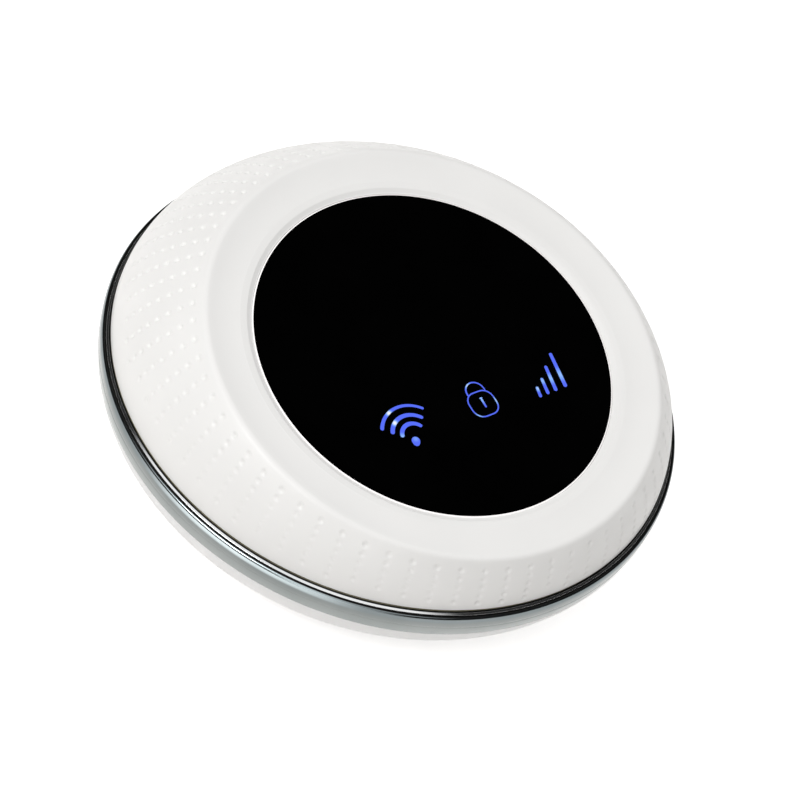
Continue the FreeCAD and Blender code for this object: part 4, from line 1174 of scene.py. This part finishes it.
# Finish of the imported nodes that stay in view: material name, two tones, roughness, metallic, grain
# and bump in mm. Each comment names the material, how it is made and what the eye sees.
INNER_FINISHES = {
    # Polyethylene foam tape, die cut: soft, matt and grainy.
    "lens_tape": ("foam_tape_grey", "5A5C60", "505256", 0.85, 0.0, 0.15, 0.02),
    # Polyester film, screen printed black: flat and dull.
    "icon_mask": ("printed_film_black", "0A0A0B", "0E0E10", 0.5, 0.0, 0.5, 0.001),
    # Acrylic, injection moulded with a frosted face: milky, with a soft shine.
    "light_guide": ("acrylic_frosted", "DDE3E8", "D4DBE2", 0.3, 0.0, 0.3, 0.002),
    # Epoxy cast over the light-emitting dies: creamy white and smooth.
    "status_leds": ("led_epoxy_white", "F0EFE6", "E8E4D2", 0.35, 0.0, 0.3, 0.002),
    # Aluminium pouch foil, rolled and heat sealed round the cell: silver with small creases.
    "battery_pack": ("battery_foil_silver", "BFC3C8", "B2B7BC", 0.35, 0.9, 0.6, 0.01),
    # Phosphor bronze, stamped and gold plated: bright yellow metal.
    "battery_contacts": ("contact_gold_plate", "D9B45A", "CFA84E", 0.25, 1.0, 0.3, 0.002),
    # Glass-epoxy board, etched and coated with green solder mask: a glossy green over faint tracks.
    "main_board": ("solder_mask_green", "1E5A34", "1A4F2E", 0.35, 0.0, 0.8, 0.012),
    # Liquid-crystal polymer, injection moulded: grey, hard and matt.
    "antenna_carrier": ("moulded_lcp_grey", "6B6E72", "606367", 0.55, 0.0, 0.2, 0.004),
    # Stainless steel strip, stamped and folded, bright: mirrors with slight waviness.
    "usb_port": ("stamped_steel_bright", "C3C6C9", "B6B9BD", 0.25, 1.0, 0.4, 0.003),
    # Liquid-crystal polymer, injection moulded black: dull black.
    "usb_tongue": ("moulded_lcp_black", "141416", "1A1A1D", 0.5, 0.0, 0.2, 0.003),
    # Nylon, injection moulded black: dull black.
    "reset_switch power_switch pairing_switch": ("moulded_switch_black", "1B1B1D", "232326", 0.5, 0.0, 0.2,
                                                 0.003),
    # Acetal, injection moulded black: slippery, with a low sheen.
    "power_plunger pairing_plunger": ("moulded_plunger_black", "26272A", "1E1F21", 0.45, 0.0, 0.2, 0.003),
    # Stainless steel strip, stamped and tumbled: a satin metal.
    "sim_socket": ("stamped_steel_satin", "B4B7BB", "A6A9AD", 0.38, 1.0, 0.4, 0.003),
    # Vinyl card, laminated and punched: smooth off-white.
    "sim_card": ("card_pvc_white", "ECECEA", "E4E4E1", 0.4, 0.0, 0.5, 0.001),
    # Steel, cold headed and zinc plated: a slightly blue satin metal.
    "housing_screws": ("screw_zinc_plate", "A9ADB2", "9CA0A5", 0.32, 1.0, 0.3, 0.003),
    # Nickel silver, deep drawn and tinned: soft bright cans over the radio and the modem.
    "radio_shield modem_shield": ("tinned_can_satin", "B9BCC0", "ACB0B4", 0.36, 1.0, 0.5, 0.004),
    # Filled epoxy, transfer moulded over the chips: charcoal with a fine grain.
    "radio_chip modem_chip": ("chip_epoxy_black", "17181A", "1E1F22", 0.55, 0.0, 0.15, 0.004),
    # Copper foil, rolled and etched on film: warm, bright metal.
    "main_antenna diversity_antenna wifi_antenna": ("antenna_foil_copper", "C98A5A", "BB7C4E", 0.32, 1.0, 0.4,
                                                    0.003),
}


def dress_inner_parts():
    """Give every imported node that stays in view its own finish."""
    for nodes, (name, colour, shade, roughness, metallic, grain, depth) in INNER_FINISHES.items():
        material = surface(name, linear(colour), linear(shade), roughness, metallic=metallic, grain_mm=grain,
                           depth_mm=depth)
        for node in nodes.split():
            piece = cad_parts[node]
            piece.data.materials.clear()
            piece.data.materials.append(material)


# ---- Stage ----
def add_camera(studio):
    """Camera at its azimuth, elevation and roll, aimed near the middle of the seam."""
    a, e, roll = studio.azimuth, studio.elevation, studio.roll
    back = Vector((sin(a) * cos(e), -cos(a) * cos(e), sin(e)))
    level = Vector((cos(a), sin(a), 0))
    up = back.cross(level)
    right, top = level * cos(roll) + up * sin(roll), up * cos(roll) - level * sin(roll)
    camera = bpy.data.objects.new("studio_camera", bpy.data.cameras.new("studio_camera"))
    bpy.context.scene.collection.objects.link(camera)
    aim = Vector((0, 0, SEAM * MM)) + right * AIM_SHIFT[0] * MM + top * AIM_SHIFT[1] * MM
    turn = Matrix((right, top, back)).transposed().to_4x4()
    camera.matrix_world = Matrix.Translation(aim + back * studio.distance) @ turn
    camera.data.lens = studio.lens
    camera.data.sensor_width = 36.0
    camera.data.clip_start, camera.data.clip_end = 0.01, 50.0
    bpy.context.scene.camera = camera


def add_lamp(name, direction, distance, size, power):
    """A soft lamp, as wide and as high as its size says, that looks at the body from a direction."""
    data = bpy.data.lights.new(name, "AREA")
    data.shape = "RECTANGLE"
    data.size, data.size_y, data.energy = *size, power
    lamp = bpy.data.objects.new(name, data)
    bpy.context.scene.collection.objects.link(lamp)
    direction = Vector(direction).normalized()
    lamp.location = direction * distance + Vector((0, 0, 0.015))
    lamp.rotation_euler = direction.to_track_quat("Z", "Y").to_euler()
    return lamp


def add_floor():
    """Pale floor. Light falls on it and leaves a soft shadow, and to the camera, in gloss and
    through clear parts its own pale colour is filled up to white."""
    points = np.array([(-1, -1), (1, -1), (1, 1), (-1, 1)]) * 6000.0
    floor = add_object("studio_floor", [(at_level(points, FLOOR_LEVEL), np.array([[0, 1, 2, 3]]))])
    material, tree, shader, place = new_material("painted_floor", {"Roughness": 0.9,
                                                                   "Specular IOR Level": 0.0})
    tone = spread(tree, noise(tree, place, 400.0), 0.0, 1.0)
    stops = ((0, linear("ECEAE8")), (1, linear("EEECEA")))
    tree.links.new(colour_ramp(tree, tone, stops), shader.inputs["Base Color"])
    rays = add_node(tree, "LightPath").outputs
    seen = calculate(tree, "MAXIMUM", rays["Is Camera Ray"], rays["Is Glossy Ray"])
    seen = calculate(tree, "MAXIMUM", seen, rays["Is Transmission Ray"])
    fill = calculate(tree, "MULTIPLY", seen, FLOOR_FILL)
    shader.inputs["Emission Color"].default_value = (1, 1, 1, 1)
    tree.links.new(fill, shader.inputs["Emission Strength"])
    floor.data.materials.append(material)


def add_surroundings(studio):
    """Soft light from all round, brighter overhead, with two black cards that dim it low down.

    Polished surfaces see a large softbox high on the left and a small one low on the near left, in
    dark surroundings, so that metal has crisp bright and dark lines and the window stays black.
    """
    world = bpy.data.worlds.new("studio_surroundings")
    world.use_nodes = True
    bpy.context.scene.world = world
    tree = world.node_tree
    tree.nodes.clear()
    direction = add_node(tree, "TexCoord").outputs["Generated"]
    soft = toward(tree, direction, (0, 0, 1), SKY_CONE, studio.side_level, studio.top_level, "LINEAR")
    for side, share in CARDS:
        card = toward(tree, direction, side, CARD_CONE, 1.0, share, "LINEAR")
        soft = calculate(tree, "MULTIPLY", soft, card)
    box = toward(tree, direction, SOFTBOX_SIDE, SOFTBOX_CONE, studio.dark_level, studio.box_level)
    low_box = toward(tree, direction, LOW_BOX_SIDE, LOW_BOX_CONE, 0.0, LOW_BOX_SHARE * studio.box_level)
    boxes = calculate(tree, "MAXIMUM", box, low_box)
    rays = add_node(tree, "LightPath").outputs
    level = add_node(tree, "Mix", inputs={"Factor": rays["Is Glossy Ray"], "A": soft, "B": boxes}
                     ).outputs["Result"]
    level = calculate(tree, "MAXIMUM", level, rays["Is Camera Ray"])
    light = add_node(tree, "Background", inputs={"Color": (1.0, 1.0, 1.0, 1.0), "Strength": level})
    add_node(tree, "OutputWorld", inputs={"Surface": light.outputs["Background"]})


# ---- Operators ----
class Undoable:
    """What the operators share: each can be undone and repeated"""
    bl_options = {"REGISTER", "UNDO"}


class HOTSPOT_OT_top_shell(Undoable, bpy.types.Operator):
    """Add the moulded top shell with its dimpled skirt, and the deck under the window"""
    bl_idname = "hotspot.top_shell"
    bl_label = "Top Shell"

    def execute(self, context):
        add_top_shell(context.scene.hotspot_shape)
        add_window_deck()
        return {"FINISHED"}


class HOTSPOT_OT_window(Undoable, bpy.types.Operator):
    """Add the round black window with its clear edge"""
    bl_idname = "hotspot.window"
    bl_label = "Window"

    def execute(self, context):
        add_window(context.scene.hotspot_shape)
        return {"FINISHED"}


class HOTSPOT_OT_symbols(Undoable, bpy.types.Operator):
    """Add the three lit symbols"""
    bl_idname = "hotspot.symbols"
    bl_label = "Symbols"

    def execute(self, context):
        add_symbols(context.scene.hotspot_shape)
        return {"FINISHED"}


class HOTSPOT_OT_trim_band(Undoable, bpy.types.Operator):
    """Add the trim band with its grooves painted black as shade, wire, belt and port openings"""
    bl_idname = "hotspot.trim_band"
    bl_label = "Trim Band"

    def execute(self, context):
        add_trim_band(context.scene.hotspot_shape)
        return {"FINISHED"}


class HOTSPOT_OT_bowl(Undoable, bpy.types.Operator):
    """Add the bottom bowl"""
    bl_idname = "hotspot.bowl"
    bl_label = "Bowl"

    def execute(self, context):
        add_bowl()
        return {"FINISHED"}


class HOTSPOT_OT_battery_cover(Undoable, bpy.types.Operator):
    """Add the battery's cover"""
    bl_idname = "hotspot.battery_cover"
    bl_label = "Battery Cover"

    def execute(self, context):
        add_battery_cover()
        return {"FINISHED"}


class HOTSPOT_OT_controls(Undoable, bpy.types.Operator):
    """Add the buttons and the SIM tray"""
    bl_idname = "hotspot.controls"
    bl_label = "Buttons and Tray"

    def execute(self, context):
        add_buttons()
        add_tray()
        return {"FINISHED"}


class HOTSPOT_OT_feet(Undoable, bpy.types.Operator):
    """Add the rubber feet"""
    bl_idname = "hotspot.feet"
    bl_label = "Feet"

    def execute(self, context):
        add_feet()
        return {"FINISHED"}


class HOTSPOT_OT_inner_parts(Undoable, bpy.types.Operator):
    """Finish the battery, board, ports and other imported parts"""
    bl_idname = "hotspot.inner_parts"
    bl_label = "Inner Parts"

    def execute(self, context):
        dress_inner_parts()
        return {"FINISHED"}


class HOTSPOT_OT_studio(Undoable, bpy.types.Operator):
    """Add the camera, the floor, the surroundings and the key lamp"""
    bl_idname = "hotspot.studio"
    bl_label = "Studio"

    def execute(self, context):
        studio = context.scene.hotspot_studio
        add_camera(studio)
        add_floor()
        add_surroundings(studio)
        add_lamp("key_lamp", KEY_SIDE, KEY_DISTANCE, KEY_SIZE, studio.key_power)
        context.scene.view_settings.view_transform = "Standard"
        return {"FINISHED"}


OPERATORS = (HOTSPOT_OT_top_shell, HOTSPOT_OT_window, HOTSPOT_OT_symbols, HOTSPOT_OT_trim_band,
             HOTSPOT_OT_bowl, HOTSPOT_OT_battery_cover, HOTSPOT_OT_controls, HOTSPOT_OT_feet,
             HOTSPOT_OT_inner_parts, HOTSPOT_OT_studio)
SETTINGS = {"hotspot_shape": HotspotShape, "hotspot_finish": HotspotFinish, "hotspot_studio": HotspotStudio}


class HOTSPOT_PT_pieces(bpy.types.Panel):
    """Lists the pieces and their settings"""
    bl_idname = "HOTSPOT_PT_pieces"
    bl_label = "Mobile Hotspot"
    bl_space_type = "VIEW_3D"
    bl_region_type = "UI"
    bl_category = "Hotspot"

    def draw(self, context):
        for operator in OPERATORS:
            self.layout.operator(operator.bl_idname)
        for name, group in SETTINGS.items():
            box = self.layout.box()
            for prop in group.__annotations__:
                box.prop(getattr(context.scene, name), prop)


def register():
    """Register the classes and hang the settings on the scene."""
    for group in (*SETTINGS.values(), *OPERATORS, HOTSPOT_PT_pieces):
        bpy.utils.register_class(group)
    for name, group in SETTINGS.items():
        setattr(bpy.types.Scene, name, PointerProperty(type=group))


def unregister():
    """Undo what register does, in reverse."""
    for name in SETTINGS:
        delattr(bpy.types.Scene, name)
    for group in (HOTSPOT_PT_pieces, *reversed(OPERATORS), *SETTINGS.values()):
        bpy.utils.unregister_class(group)


def main():
    """Register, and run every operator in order."""
    register()
    for operator in OPERATORS:
        getattr(bpy.ops.hotspot, operator.bl_idname.split(".")[1])()


if __name__ == "__main__":
    main()
